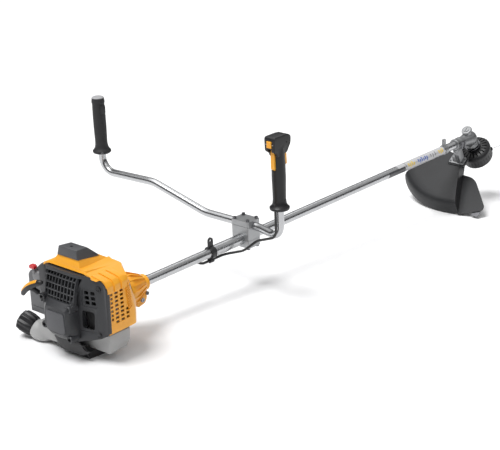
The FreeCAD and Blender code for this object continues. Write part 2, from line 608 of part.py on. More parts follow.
# ---------------------------------------------------------------- pull starter
node("starter_pulley", cut(cylinder(30, 12, (-297, 0, 0), "x"),
                           cylinder("5 + run_gap", 14, (-298, 0, 0), "x"),
                           ring(32, 26, 6, (-294, 0, 0), "x")))
handle = fuse(softened(box((-44, 44), (-8, 8), ("pull_length - 6", "pull_length + 8")), 5,
                       lambda e: abs(e.Length - 14) < 0.01),
              cone(7, 9, 18, (0, 0, "pull_length - 24"), "z"))
node("starter_handle", cut(handle, cylinder(2.4, 30, (0, 0, "pull_length - 30"), "z")), "pull")
node("starter_rope", cylinder(2, "pull_length + 6", (0, 0, -8), "z"), "pull")

# ------------------------------------------------------------------- gear case
CASE_AT = "tube_end + case_reach"
shell_case = fuse(cylinder(18, 40, ("tube_end - 30", 0, 0), "x"),
                  cone(18, 20, 34, ("tube_end + 8", 0, 0), "x"),
                  sphere("case_radius", (CASE_AT, 0, 0)),
                  within("head", cylinder(21, 30, (0, 0, -30), "z")),
                  within("head", cylinder(13, 32, (3, 0, 0), "z")),
                  box(("tube_end - 24", "tube_end + 4"), (-30, -12), (-7, 7)))
node("gear_case", cut(shell_case,
                      cylinder(TUBE, 62, ("tube_end - 62", 0, 0), "x"),
                      cylinder(11, 46, ("tube_end - 4", 0, 0), "x"),
                      sphere("case_radius - 4", (CASE_AT, 0, 0)),
                      within("head", cylinder(17, 34, (0, 0, -32), "z")),
                      box(("tube_end - 32", "tube_end + 6"), (-32, -12), (-0.8, 0.8)),
                      *[cylinder(3.1, 30, (x, -23, -15), "z")
                        for x in ("tube_end - 18", "tube_end - 2")]))
SCREWS += [screw((x, -23, 7), "-z", 3, 18, 5, 5) for x in ("tube_end - 18", "tube_end - 2")]
node("case_plug", fuse(cylinder(13.5, 4, (4, 0, 32), "z"), cylinder(5, 3, (4, 0, 36), "z")), "head")
BEARINGS += [ring(11, "shaft_dia / 2 + run_gap", 8, ("tube_end + 10", 0, 0), "x")]
BEARINGS += [within("head", ring(17, "5 + run_gap", 6, (0, 0, z), "z")) for z in (-20, -28)]
node("shaft_bearings", group(*BEARINGS))

# bevel pair: pitch cones meet on the crossing point of both axes
sum_angle = math.radians(90 - S["head_angle"])
teeth_ratio = S["gear_teeth"] / S["pinion_teeth"]
pinion_angle = math.atan(math.sin(sum_angle) / (teeth_ratio + math.cos(sum_angle)))
gear_angle = sum_angle - pinion_angle
FAR, NEAR, SLACK = 19.0, 12.5, 0.25


def bevel(angle, teeth, hub, bore):
    """Bevel gear pointing up its own Z, tooth gaps cut below the pitch cone."""
    low, high = NEAR * math.cos(angle), FAR * math.cos(angle)
    r_low, r_high = NEAR * math.sin(angle) - SLACK, FAR * math.sin(angle) - SLACK
    blank = Part.makeCone(r_low, r_high, high - low, V(0, 0, low))
    blank = blank.fuse(Part.makeCylinder(r_high, hub, V(0, 0, high)))
    for k in range(teeth):
        notch = Part.makeBox(high - low + 8, 0.9, 1.6, V(0, -0.45, -0.8))
        notch.Placement = FreeCAD.Placement(
            V(r_low, 0, low), FreeCAD.Rotation(V(0, 1, 0), -90 + math.degrees(angle)))
        notch.rotate(V(0, 0, 0), V(0, 0, 1), 360.0 * k / teeth)
        blank = blank.cut(notch)
    return blank.cut(Part.makeCylinder(bore, 40, V(0, 0, -5)))


pinion = raw(bevel(pinion_angle, S["pinion_teeth"], 4, S["shaft_dia"] / 2), "pinion")
pinion.Placement = FreeCAD.Placement(V(HEAD_X, 0, 0), TURN["-x"])
shaft = cylinder("shaft_dia / 2", "tube_end + case_reach - 18 + 74", (-74, 0, 0), "x")
node("drive_shaft", fuse(shaft, pinion))
node("output_gear", raw(bevel(gear_angle, S["gear_teeth"], 1.6, 5), "gear"), "head")

# ---------------------------------------------------------------- trimmer head
HEAD_R = "head_dia / 2"
node("output_shaft", fuse(cylinder(5, 67, (0, 0, -50), "z"), cylinder(24, 4, (0, 0, -36), "z"),
                          cylinder(12, 8, (0, 0, -43.8), "z")), "head")
hub = fuse(cone(HEAD_R, 34, 10, (0, 0, "head_top - 10"), "z"),
           cylinder(HEAD_R, "head_top - head_bottom - 18", (0, 0, "head_bottom + 8"), "z"),
           cone(48, HEAD_R, 8, (0, 0, "head_bottom"), "z"))
LINE_LEVEL = "head_bottom + 24"
LINE_TURNS = (-50, 130)


def radial(obj_radius, start, length, turn):
    """Round bar pointing out of the head at the level of the line."""
    way = V(math.cos(math.radians(turn)), math.sin(math.radians(turn)), 0)
    bar = cylinder(obj_radius, length, (start * way.x, start * way.y, LINE_LEVEL), tuple(way))
    return bar


node("trimmer_head", cut(hub, cylinder("head_dia / 2 - 4", 44, (0, 0, "head_bottom + 6"), "z"),
                         cylinder(38, 8, (0, 0, "head_bottom - 1"), "z"),
                         cylinder(5, 30, (0, 0, -70), "z"),
                         *[radial(3.5, 40, 30, turn) for turn in LINE_TURNS]), "head")
for name, turn in zip(("line_a", "line_b"), LINE_TURNS):
    node(name, radial("line_dia / 2", S["head_dia"] / 2 - 7, S["line_reach"] - 48, turn), "head")
spool = cut(fuse(cylinder(45, 3, (0, 0, "head_bottom + 10"), "z"),
                 cylinder(45, 3, (0, 0, "head_bottom + 38"), "z"),
                 cylinder(20, 30, (0, 0, "head_bottom + 11"), "z")),
            cylinder(17, 22, (0, 0, "head_bottom + 22"), "z"),
            cylinder(5.6, 60, (0, 0, "head_bottom"), "z"))
node("line_spool", spool, "head")
knob = fuse(cylinder(33, 14, (0, 0, "head_bottom - 4"), "z"),
            cone(26, 33, 8, (0, 0, "head_bottom - 12"), "z"))
grips = [cylinder(5, 16, (36 * math.cos(k * math.pi / 4), 36 * math.sin(k * math.pi / 4),
                          "head_bottom - 14"), "z") for k in range(8)]
node("bump_knob", cut(knob, *grips), "head")
# ----------------------------------------------------------------------- guard
SLOPE = 0.423
FAN = [(-58, 12), (-40, 76), (-200, 208), (-340, 160), (-340, 12 - 282 * SLOPE)]
LOW = "deck_level - skirt_depth"


def fan(depth):
    return profile(FAN, "z", S["deck_level"] - S["skirt_depth"] - 5, depth)


deck = common(cylinder("deck_radius", "guard_wall", (0, 0, "deck_level - guard_wall"), "z"), fan(60))
skirt = cut(cone("skirt_radius", "deck_radius", "skirt_depth", (0, 0, LOW), "z"),
            cone("skirt_radius - guard_wall", "deck_radius - guard_wall", "skirt_depth",
                 (0, 0, LOW), "z"))
skirt = common(skirt, fan(60))
web_strip = [(-62, 12 - 4 * SLOPE), (-62, 15.3 - 4 * SLOPE), (-260, 15.3 - 202 * SLOPE),
             (-260, 12 - 202 * SLOPE)]
bowl = cone("skirt_radius", "deck_radius", "skirt_depth", (0, 0, LOW), "z")
web = common(profile(web_strip, "z", S["deck_level"] - S["skirt_depth"], "skirt_depth"), bowl)
WING = [(-97, 12.1 - 39 * SLOPE), (-99, -36), (-108, -58), (-206, -150), (-262, -150),
        (-262, 12.1 - 204 * SLOPE)]
wing = common(profile(WING, "z", S["deck_level"] - S["skirt_depth"], 3),
              cylinder("skirt_radius", 3, (0, 0, LOW), "z"))
pad = box((-94, -58), (-18, 44), ("deck_level - guard_wall", "deck_level + 3"))
guard = fuse(deck, skirt, web, wing, pad)
guard_bolt_spots = [(-84, -8), (-84, 34), (-66, 30)]
node("guard", cut(guard, *[cylinder(3.1, 20, (x, y, "deck_level - 10"), "z")
                           for x, y in guard_bolt_spots]), "head")
plate = within("head", box((-92, -60), (-14, 40), ("deck_level + 3", "deck_level + 8")))
post = within("head", box((-92, -64), (-13, 13), ("deck_level + 8", 24)))
bracket = cut(fuse(plate, common(post, box((1300, "tube_end + case_reach"), (-20, 20), (-120, -17.9)))),
              *[within("head", cylinder(3.1, 30, (x, y, "deck_level - 10"), "z"))
                for x, y in guard_bolt_spots])
node("guard_bracket", bracket)
SCREWS += [within("head", screw((x, y, "deck_level - guard_wall"), "z", 3, 13.5, 5, 4))
           for x, y in guard_bolt_spots]
node("case_screws", group(*SCREWS))
node("line_cutter", fuse(box((-236, -200), (-134, -110), (LOW + " - 2", LOW)),
                         box((-236, -232), (-134, -110), (LOW + " - 2", LOW))), "head")
doc.recompute()

# --------------------------------------------------- resting pose and hand over
CORDS = ("line_a", "line_b")


def turned(names, angle):
    """Lowest point of some nodes with the machine nose raised by an angle."""
    tilt = FreeCAD.Placement(V(0, 0, 0), FreeCAD.Rotation(V(0, 1, 0), -angle))
    lows = []
    for name in names:
        holder, frame = NODES[name]
        shape = holder.Shape.copy()
        shape.Placement = tilt.multiply(FRAMES[frame])
        lows.append(shape.optimalBoundingBox(False).ZMin)
    return min(lows)


low_angle, high_angle = 0.0, 8.0
for _ in range(18):
    rest_angle = (low_angle + high_angle) / 2
    if turned(["guard"], rest_angle) < turned(["stand"], rest_angle):
        low_angle = rest_angle
    else:
        high_angle = rest_angle

tilt = FreeCAD.Placement(V(0, 0, 0), FreeCAD.Rotation(V(0, 1, 0), -rest_angle))
for holder, frame in NODES.values():
    holder.Placement = tilt.multiply(FRAMES[frame])
doc.recompute()
whole = FreeCAD.BoundBox()
for name, (holder, frame) in NODES.items():
    if name not in CORDS:
        whole.add(holder.Shape.optimalBoundingBox(False))
shift = FreeCAD.Placement(V(-whole.Center.x, -whole.Center.y, -whole.ZMin), FreeCAD.Rotation())
for holder, frame in NODES.values():
    holder.Placement = shift.multiply(tilt.multiply(FRAMES[frame]))
doc.recompute()

problems = []
for obj in doc.Objects:
    if "Invalid" in obj.State or "Error" in obj.State:
        problems.append("%s: %s" % (obj.Name, obj.State))
for name, (holder, frame) in NODES.items():
    shape = holder.Shape
    if shape.isNull() or not shape.isValid() or not shape.Solids:
        problems.append(name + ": bad shape")
if problems:
    raise RuntimeError("; ".join(problems))

os.makedirs("parts", exist_ok=True)
for name, (holder, frame) in NODES.items():
    holder.Shape.exportStep("parts/%s.step" % name)
print("nodes %d, rest angle %.3f degrees, shift %s" % (len(NODES), rest_angle, shift.Base))
print("overall %.1f x %.1f x %.1f mm" % (whole.XLength, whole.YLength, whole.ZLength))
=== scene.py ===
import json
import math

import bmesh
import bpy
from mathutils import Matrix, Vector


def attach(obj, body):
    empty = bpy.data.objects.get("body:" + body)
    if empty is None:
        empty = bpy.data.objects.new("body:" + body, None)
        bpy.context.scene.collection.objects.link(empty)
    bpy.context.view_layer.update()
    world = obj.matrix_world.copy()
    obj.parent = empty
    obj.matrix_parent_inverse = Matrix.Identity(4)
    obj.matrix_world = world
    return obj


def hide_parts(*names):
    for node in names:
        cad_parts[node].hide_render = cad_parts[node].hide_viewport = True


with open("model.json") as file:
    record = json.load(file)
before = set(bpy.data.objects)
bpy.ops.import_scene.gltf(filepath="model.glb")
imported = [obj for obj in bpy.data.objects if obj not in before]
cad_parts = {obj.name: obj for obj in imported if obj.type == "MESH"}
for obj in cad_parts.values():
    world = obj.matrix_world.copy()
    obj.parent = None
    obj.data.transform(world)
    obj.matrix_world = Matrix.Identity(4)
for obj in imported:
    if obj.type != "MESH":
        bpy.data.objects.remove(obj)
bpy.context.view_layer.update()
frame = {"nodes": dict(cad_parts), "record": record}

NODES = frame["nodes"]
JOINTS = {j["name"]: j for j in frame["record"]["behaviour"]["joints"]}

# ------------------------------------------------------------------ placing
# The machine frame: X along the drive tube, Y to the left, Z up, origin where the
# tube enters the clutch housing.  It comes from the joints of the record.
AX = Vector(JOINTS["drive_spin"]["axis"]).normalized()
AY = Vector((0, 1, 0))
AZ = AX.cross(AY).normalized()
HEAD = Vector(JOINTS["head_spin"]["pos_m"])
HEAD_FROM_ORIGIN = 1.474
ORIGIN = HEAD - AX * HEAD_FROM_ORIGIN
HZ = Vector(JOINTS["head_spin"]["axis"]).normalized()
HX = AY.cross(HZ).normalized()
TURN = Matrix((AX, AY, AZ)).transposed()
HEAD_TURN = Matrix((HX, AY, HZ)).transposed()
MM = Matrix.Scale(0.001, 4)
MACHINE = Matrix.Translation(ORIGIN) @ TURN.to_4x4() @ MM
HEAD_AT = Matrix.Translation(HEAD) @ HEAD_TURN.to_4x4() @ MM


def at(x, y, z):
    return MACHINE @ Vector((x, y, z))


# ------------------------------------------------------------------ materials
def node_material(name, base, rough=0.5, metal=0.0, coat=0.0, grain=0.0, grain_size=900,
                  vary=0.08, vary_size=12, edge_highlight=0.0, scratches=0.0, ior=1.5, sheen=0.0,
                  transmission=0.0, bump_dist=0.0004, dirt=0.0, subsurface=0.0):
    mat = bpy.data.materials.new(name)
    mat.use_nodes = True
    tree = mat.node_tree
    nodes, links = tree.nodes, tree.links
    shader = nodes["Principled BSDF"]
    shader.inputs["Metallic"].default_value = metal
    shader.inputs["Coat Weight"].default_value = coat
    shader.inputs["Coat Roughness"].default_value = 0.12
    shader.inputs["IOR"].default_value = ior
    shader.inputs["Sheen Weight"].default_value = sheen
    shader.inputs["Transmission Weight"].default_value = transmission
    if subsurface:
        shader.inputs["Subsurface Weight"].default_value = subsurface
        shader.inputs["Subsurface Radius"].default_value = (0.02, 0.02, 0.02)
    where = nodes.new("ShaderNodeTexCoord")

    def field(scale, detail=4.0, rough_=0.55):
        tex = nodes.new("ShaderNodeTexNoise")
        tex.inputs["Scale"].default_value = scale
        tex.inputs["Detail"].default_value = detail
        tex.inputs["Roughness"].default_value = rough_
        links.new(where.outputs["Object"], tex.inputs["Vector"])
        return tex

    big = field(vary_size)
    ramp = nodes.new("ShaderNodeValToRGB")
    low = [c * (1 - vary) for c in base]
    high = [min(1, c * (1 + vary)) for c in base]
    ramp.color_ramp.elements[0].color = (*low, 1)
    ramp.color_ramp.elements[0].position = 0.3
    ramp.color_ramp.elements[1].color = (*high, 1)
    ramp.color_ramp.elements[1].position = 0.7
    links.new(big.outputs["Fac"], ramp.inputs["Fac"])
    colour = ramp.outputs["Color"]
    # Painted highlight: convex edges, found by pointiness, are mixed towards a lighter copy of the
    # base colour, standing in for the light caught on rounded rims.
    if edge_highlight:
        geo = nodes.new("ShaderNodeNewGeometry")
        edge = nodes.new("ShaderNodeMapRange")
        edge.inputs["From Min"].default_value = 0.54
        edge.inputs["From Max"].default_value = 0.66
        edge.inputs["To Max"].default_value = edge_highlight
        links.new(geo.outputs["Pointiness"], edge.inputs["Value"])
        mix = nodes.new("ShaderNodeMix")
        mix.data_type = "RGBA"
        links.new(edge.outputs["Result"], mix.inputs["Factor"])
        links.new(colour, mix.inputs["A"])
        mix.inputs["B"].default_value = (*[min(1, c * 1.6 + 0.05) for c in base], 1)
        colour = mix.outputs["Result"]
    if dirt:
        spots = field(55, 6, 0.7)
        mask = nodes.new("ShaderNodeMapRange")
        mask.inputs["From Min"].default_value = 0.52
        mask.inputs["From Max"].default_value = 0.78
        mask.inputs["To Max"].default_value = dirt
        links.new(spots.outputs["Fac"], mask.inputs["Value"])
        mix = nodes.new("ShaderNodeMix")
        mix.data_type = "RGBA"
        links.new(mask.outputs["Result"], mix.inputs["Factor"])
        links.new(colour, mix.inputs["A"])
        mix.inputs["B"].default_value = (*[c * 0.45 + 0.02 for c in base], 1)
        colour = mix.outputs["Result"]
    links.new(colour, shader.inputs["Base Color"])
    fine = field(grain_size, 3, 0.6)
    rmap = nodes.new("ShaderNodeMapRange")
    rmap.inputs["To Min"].default_value = max(0.02, rough - 0.07)
    rmap.inputs["To Max"].default_value = min(1.0, rough + 0.07)
    medium = field(70, 5, 0.6)
    links.new(medium.outputs["Fac"], rmap.inputs["Value"])
    links.new(rmap.outputs["Result"], shader.inputs["Roughness"])
    if grain or scratches:
        bump = nodes.new("ShaderNodeBump")
        bump.inputs["Strength"].default_value = max(grain, scratches)
        bump.inputs["Distance"].default_value = bump_dist
        height = fine.outputs["Fac"]
        if scratches:
            stretch = nodes.new("ShaderNodeMapping")
            stretch.inputs["Scale"].default_value = (4, 260, 260)
            links.new(where.outputs["Object"], stretch.inputs["Vector"])
            lines = nodes.new("ShaderNodeTexNoise")
            lines.inputs["Scale"].default_value = 9
            lines.inputs["Detail"].default_value = 6
            links.new(stretch.outputs["Vector"], lines.inputs["Vector"])
            height = lines.outputs["Fac"]
        links.new(height, bump.inputs["Height"])
        links.new(bump.outputs["Normal"], shader.inputs["Normal"])
    return mat


MAT = {
    "yellow_plastic": node_material("yellow_moulding", (0.84, 0.365, 0.018), 0.40, coat=0.08,
                                    grain=0.10, grain_size=1500, vary=0.04, edge_highlight=0.12),
    "dark_plastic": node_material("dark_moulding", (0.027, 0.028, 0.031), 0.42, ior=1.42,
                                  grain=0.25,
                                  grain_size=1300, vary=0.10, edge_highlight=0.35),
    "grey_plastic": node_material("grey_moulding", (0.085, 0.086, 0.090), 0.42, grain=0.22,
                                  grain_size=1300, vary=0.08, edge_highlight=0.35),
    "black_plastic": node_material("black_moulding", (0.010, 0.010, 0.0112), 0.40, ior=1.42,
                                   grain=0.22,
                                   grain_size=1200, vary=0.12, edge_highlight=0.30),
    "guard_plastic": node_material("guard_moulding", (0.017, 0.0175, 0.019), 0.46, ior=1.42,
                                   grain=0.30,
                                   grain_size=1000, vary=0.12, edge_highlight=0.25, dirt=0.25),
    "grip_rubber": node_material("grip_rubber", (0.014, 0.014, 0.0155), 0.58, grain=0.45,
                                 grain_size=1400, vary=0.15),
    "grip_cap_grey": node_material("grip_cap_grey", (0.33, 0.33, 0.34), 0.5, grain=0.2,
                                   grain_size=1200),
    "tube_metal": node_material("tube_aluminium", (0.48, 0.485, 0.495), 0.26, metal=1.0,
                                scratches=0.08, vary=0.05, vary_size=20),
    "bar_metal": node_material("bar_aluminium", (0.48, 0.485, 0.495), 0.24, metal=1.0,
                               grain=0.05, grain_size=500, vary=0.05),
    "cast_alloy": node_material("cast_alloy", (0.28, 0.285, 0.29), 0.40, metal=0.85,
                                grain=0.5, grain_size=700, vary=0.10, edge_highlight=0.4),
    "engine_alloy": node_material("engine_alloy", (0.30, 0.30, 0.31), 0.55, metal=0.8,
                                  grain=0.6, grain_size=500, vary=0.15, dirt=0.3),
    "steel": node_material("machined_steel", (0.36, 0.36, 0.38), 0.33, metal=1.0,
                           grain=0.12, grain_size=600, vary=0.12),
    "screw_steel": node_material("screw_steel", (0.16, 0.16, 0.17), 0.35, metal=0.9,
                                 grain=0.1, vary=0.1),
    "tank_plastic": node_material("tank_milky", (0.37, 0.37, 0.367), 0.38, grain=0.12,
                                  grain_size=700, vary=0.05, subsurface=0.35),
    "red_plastic": node_material("red_moulding", (0.50, 0.010, 0.015), 0.3, coat=0.3,
                                 grain=0.1, vary=0.06),
    "label_film": node_material("label_film", (0.50, 0.50, 0.51), 0.3, coat=0.4, grain=0.03,
                                vary=0.03),
    "line_nylon": node_material("line_nylon", (0.60, 0.61, 0.63), 0.25, transmission=0.3,
                                grain=0.05, vary=0.05),
    "cable_black": node_material("cable_black", (0.012, 0.012, 0.013), 0.36, grain=0.15,
                                 grain_size=900, vary=0.1),
    "ceramic": node_material("ceramic", (0.75, 0.73, 0.68), 0.2, coat=0.5, vary=0.03),
    "cap_dark": node_material("cap_moulding", (0.062, 0.063, 0.068), 0.42, grain=0.22,
                              grain_size=1300, vary=0.08, edge_highlight=0.35),
    "mark_yellow": node_material("mark_yellow", (0.75, 0.52, 0.03), 0.3, coat=0.3, vary=0.03),
    "mark_blue": node_material("mark_blue", (0.04, 0.11, 0.42), 0.3, coat=0.3, vary=0.03),
    "mark_dark": node_material("mark_dark", (0.05, 0.05, 0.055), 0.32, coat=0.3, vary=0.03),
    "badge": node_material("badge_face", (0.055, 0.056, 0.062), 0.36, grain=0.1, grain_size=1500,
                           vary=0.06),
    "choke_grey": node_material("choke_grey", (0.17, 0.17, 0.175), 0.4, grain=0.2,
                                grain_size=1200),
    "stand_black": node_material("stand_moulding", (0.030, 0.030, 0.032), 0.42, grain=0.2,
                                 grain_size=1100, vary=0.12, edge_highlight=0.3),
    # Painted shade: near-black material for the sheet that stands in for the shade inside the
    # starter housing.
    "painted_shade_inside": node_material("painted_shade_inside", (0.010, 0.010, 0.011), 0.6, vary=0.2,
                                 grain=0.3, grain_size=600),
}

SLOT_OF = {s["node"]: s["material_slot"] for s in frame["record"]["subparts"]}
for name, obj in NODES.items():
    obj.data.materials.clear()
    obj.data.materials.append(MAT["screw_steel" if name == "line_cutter" else SLOT_OF[name]])


# ------------------------------------------------------------------ mesh tools
def new_object(mesh, name):
    obj = bpy.data.objects.new(name, mesh)
    bpy.context.scene.collection.objects.link(obj)
    return obj


def prism(points, axis, start, length, name="tool"):
    """Closed prism of a (y, z), (x, z) or (x, y) outline along x, y or z, in mm."""
    order = {"x": lambda a, b, c: (c, a, b), "y": lambda a, b, c: (a, c, b),
             "z": lambda a, b, c: (a, b, c)}[axis]
    count = len(points)
    verts = [order(a, b, start) for a, b in points] + [order(a, b, start + length)
                                                       for a, b in points]
    faces = [tuple(range(count)), tuple(range(2 * count - 1, count - 1, -1))]
    faces += [(i, (i + 1) % count, (i + 1) % count + count, i + count)
              for i in range(count)]
    return solid(verts, faces, name)


def solid(verts, faces, name="tool"):
    mesh = bpy.data.meshes.new(name)
    mesh.from_pydata([tuple(v) for v in verts], [], faces)
    bm = bmesh.new()
    bm.from_mesh(mesh)
    bmesh.ops.recalc_face_normals(bm, faces=bm.faces)
    bm.to_mesh(mesh)
    bm.free()
    return new_object(mesh, name)


def loft(rings, name="tool", closed=True, caps=True):
    """Skin over rings with the same number of points each, in mm."""
    count = len(rings[0])
    verts = [p for ring in rings for p in ring]
    faces = []
    for level in range(len(rings) - 1):
        for i in range(count if closed else count - 1):
            j = (i + 1) % count
            faces.append((level * count + i, level * count + j,
                          (level + 1) * count + j, (level + 1) * count + i))
    if caps:
        faces.append(tuple(range(count)))
        faces.append(tuple((len(rings) - 1) * count + i for i in reversed(range(count))))
    return solid(verts, faces, name)


def round_outline(points, radius, steps=5):
    """Outline with each corner turned into a short arc."""
    out = []
    count = len(points)
    for i, corner in enumerate(points):
        here = Vector(corner)
        before = Vector(points[i - 1]) - here
        after = Vector(points[(i + 1) % count]) - here
        r = radius[i] if isinstance(radius, (list, tuple)) else radius
        if r <= 0:
            out.append(tuple(here))
            continue
        reach = min(r, before.length * 0.48, after.length * 0.48)
        a = here + before.normalized() * reach
        b = here + after.normalized() * reach
        for k in range(steps + 1):
            t = k / steps
            out.append(tuple((1 - t) ** 2 * a + 2 * t * (1 - t) * here + t * t * b))
    return out


def spun(section, centre, axis, steps=64, name="tool"):
    """Turned solid: section holds (radius, along) points from end to end."""
    axis = Vector(axis).normalized()
    side = axis.orthogonal().normalized()
    other = axis.cross(side)
    rings = []
    for radius, along in section:
        r = max(radius, 0.01)
        rings.append([Vector(centre) + axis * along
                      + (side * math.cos(2 * math.pi * k / steps)
                         + other * math.sin(2 * math.pi * k / steps)) * r for k in range(steps)])
    return loft(rings, name)


def block(x_span, y_span, z_span, name="tool"):
    """Box-shaped cutting tool between two corners."""
    (x0, x1), (y0, y1), (z0, z1) = x_span, y_span, z_span
    return prism([(x0, y0), (x1, y0), (x1, y1), (x0, y1)], "z", z0, z1 - z0, name)


def applied(obj):
    """Bake the modifiers of an object into its mesh."""
    graph = bpy.context.evaluated_depsgraph_get()
    mesh = bpy.data.meshes.new_from_object(obj.evaluated_get(graph))
    obj.modifiers.clear()
    obj.data = mesh
    return obj


def dropped(obj):
    mesh = obj.data
    bpy.data.objects.remove(obj)
    if mesh.users == 0:
        bpy.data.meshes.remove(mesh)


def joined(parts, name="tool"):
    """One mesh out of several, which are removed."""
    bm = bmesh.new()
    for part in parts:
        bm.from_mesh(part.data)
    mesh = bpy.data.meshes.new(name)
    bm.to_mesh(mesh)
    bm.free()
    for part in parts:
        dropped(part)
    return new_object(mesh, name)


def boolean(obj, tools, how="DIFFERENCE"):
    tool = joined(list(tools)) if isinstance(tools, (list, tuple)) else tools
    mod = obj.modifiers.new("cut", "BOOLEAN")
    mod.operation = how
    mod.object = tool
    mod.solver = "EXACT"
    mod.use_self = True
    applied(obj)
    dropped(tool)
    return obj


def bevelled(obj, width, segments=3, angle=28):
    mod = obj.modifiers.new("round", "BEVEL")
    mod.width = width
    mod.segments = segments
    mod.limit_method = "ANGLE"
    mod.angle_limit = math.radians(angle)
    mod.use_clamp_overlap = True
    mod.harden_normals = False
    return applied(obj)


def smoothed(obj, levels=2):
    mod = obj.modifiers.new("smooth", "SUBSURF")
    mod.levels = levels
    mod.render_levels = levels
    return applied(obj)


WELD = 0.002


def piece(obj, name, body, mat, replaces=(), matrix=MACHINE, angle=32):
    """Hand a mesh over: into world metres, smooth by angle, riding on its body."""
    bm = bmesh.new()
    bm.from_mesh(obj.data)
    bmesh.ops.remove_doubles(bm, verts=bm.verts, dist=WELD)
    bmesh.ops.dissolve_degenerate(bm, edges=bm.edges, dist=WELD)
    bm.to_mesh(obj.data)
    bm.free()
    obj.data.transform(matrix)
    obj.name = name
    obj.data.name = name
    obj.data.shade_smooth()
    obj.data.set_sharp_from_angle(angle=math.radians(angle))
    obj.data.materials.clear()
    obj.data.materials.append(mat)
    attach(obj, body)
    if replaces:
        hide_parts(*replaces)
    return obj


# ------------------------------------------------------------------ camera, light
CAMERA_AT = (-2446.17, -2582.05, 1483.97)
CAMERA_RIGHT = (0.66168, -0.74898, -0.03469)
CAMERA_UP = (0.28698, 0.21024, 0.93458)
CAMERA_LENS, CAMERA_SENSOR = 108, 36


def camera():
    data = bpy.data.cameras.new("camera")
    data.lens = CAMERA_LENS
    data.sensor_width = CAMERA_SENSOR
    cam = bpy.data.objects.new("camera", data)
    bpy.context.scene.collection.objects.link(cam)
    right = (TURN @ Vector(CAMERA_RIGHT)).normalized()
    up = (TURN @ Vector(CAMERA_UP)).normalized()
    back = right.cross(up).normalized()
    cam.matrix_world = (Matrix.Translation(at(*CAMERA_AT))
                        @ Matrix((right, up, back)).transposed().to_4x4())
    data.clip_start, data.clip_end = 0.1, 60
    bpy.context.scene.camera = cam


def area_light(name, location, target, size, power, colour=(1, 1, 1)):
    data = bpy.data.lights.new(name, "AREA")
    data.shape = "RECTANGLE"
    data.size, data.size_y = size
    data.energy = power
    data.color = colour
    lamp = bpy.data.objects.new(name, data)
    bpy.context.scene.collection.objects.link(lamp)
    lamp.location = location
    lamp.rotation_mode = "QUATERNION"
    lamp.rotation_quaternion = (Vector(target) - Vector(location)).to_track_quat("-Z", "Y")


SKY = ((0.0, (0.06, 0.062, 0.065, 1)), (0.36, (0.17, 0.172, 0.176, 1)), (0.60, (1.0, 1.0, 1.0, 1)))
SKY_STRENGTH = 0.64
SUN_POWER, SUN_ANGLE, SUN_WAY = 2.5, 26, (0.42, -0.10, -0.9)
FLOOR_HALF = 30


def studio():
    world = bpy.data.worlds.new("studio")
    world.use_nodes = True
    tree = world.node_tree
    where = tree.nodes.new("ShaderNodeTexCoord")
    split = tree.nodes.new("ShaderNodeSeparateXYZ")
    ramp = tree.nodes.new("ShaderNodeValToRGB")
    low, middle, high = SKY
    stops = ramp.color_ramp.elements
    stops[0].position, stops[0].color = low
    stops[1].position, stops[1].color = high
    stops.new(middle[0]).color = middle[1]
    tree.links.new(where.outputs["Generated"], split.inputs["Vector"])
    tree.links.new(split.outputs["Z"], ramp.inputs["Fac"])
    tree.links.new(ramp.outputs["Color"], tree.nodes["Background"].inputs["Color"])
    tree.nodes["Background"].inputs["Strength"].default_value = SKY_STRENGTH
    bpy.context.scene.world = world
    bpy.context.scene.view_settings.view_transform = "Standard"
    data = bpy.data.lights.new("sun", "SUN")
    data.energy = SUN_POWER
    data.angle = math.radians(SUN_ANGLE)
    sun = bpy.data.objects.new("sun", data)
    bpy.context.scene.collection.objects.link(sun)
    sun.rotation_mode = "QUATERNION"
    sun.rotation_quaternion = Vector(SUN_WAY).to_track_quat("-Z", "Y")
    area_light("key", (-1.8, -2.6, 3.4), (0, 0, 0.1), (2.4, 1.6), 14)
    area_light("strip", (0.2, 1.2, 2.4), (0.0, 0, 0.2), (5.0, 0.9), 16)
    mesh = bpy.data.meshes.new("floor")
    corners = ((-1, -1), (1, -1), (1, 1), (-1, 1))
    mesh.from_pydata([(x * FLOOR_HALF, y * FLOOR_HALF, 0) for x, y in corners], [],
                     [(0, 1, 2, 3)])
    floor = bpy.data.objects.new("floor", mesh)
    bpy.context.scene.collection.objects.link(floor)
    mesh.materials.append(node_material("floor_white", (0.90, 0.90, 0.905), 0.9, vary=0.005,
                                        ior=1.2))


# ------------------------------------------------------------------ engine covers
REAR_LIP = -264


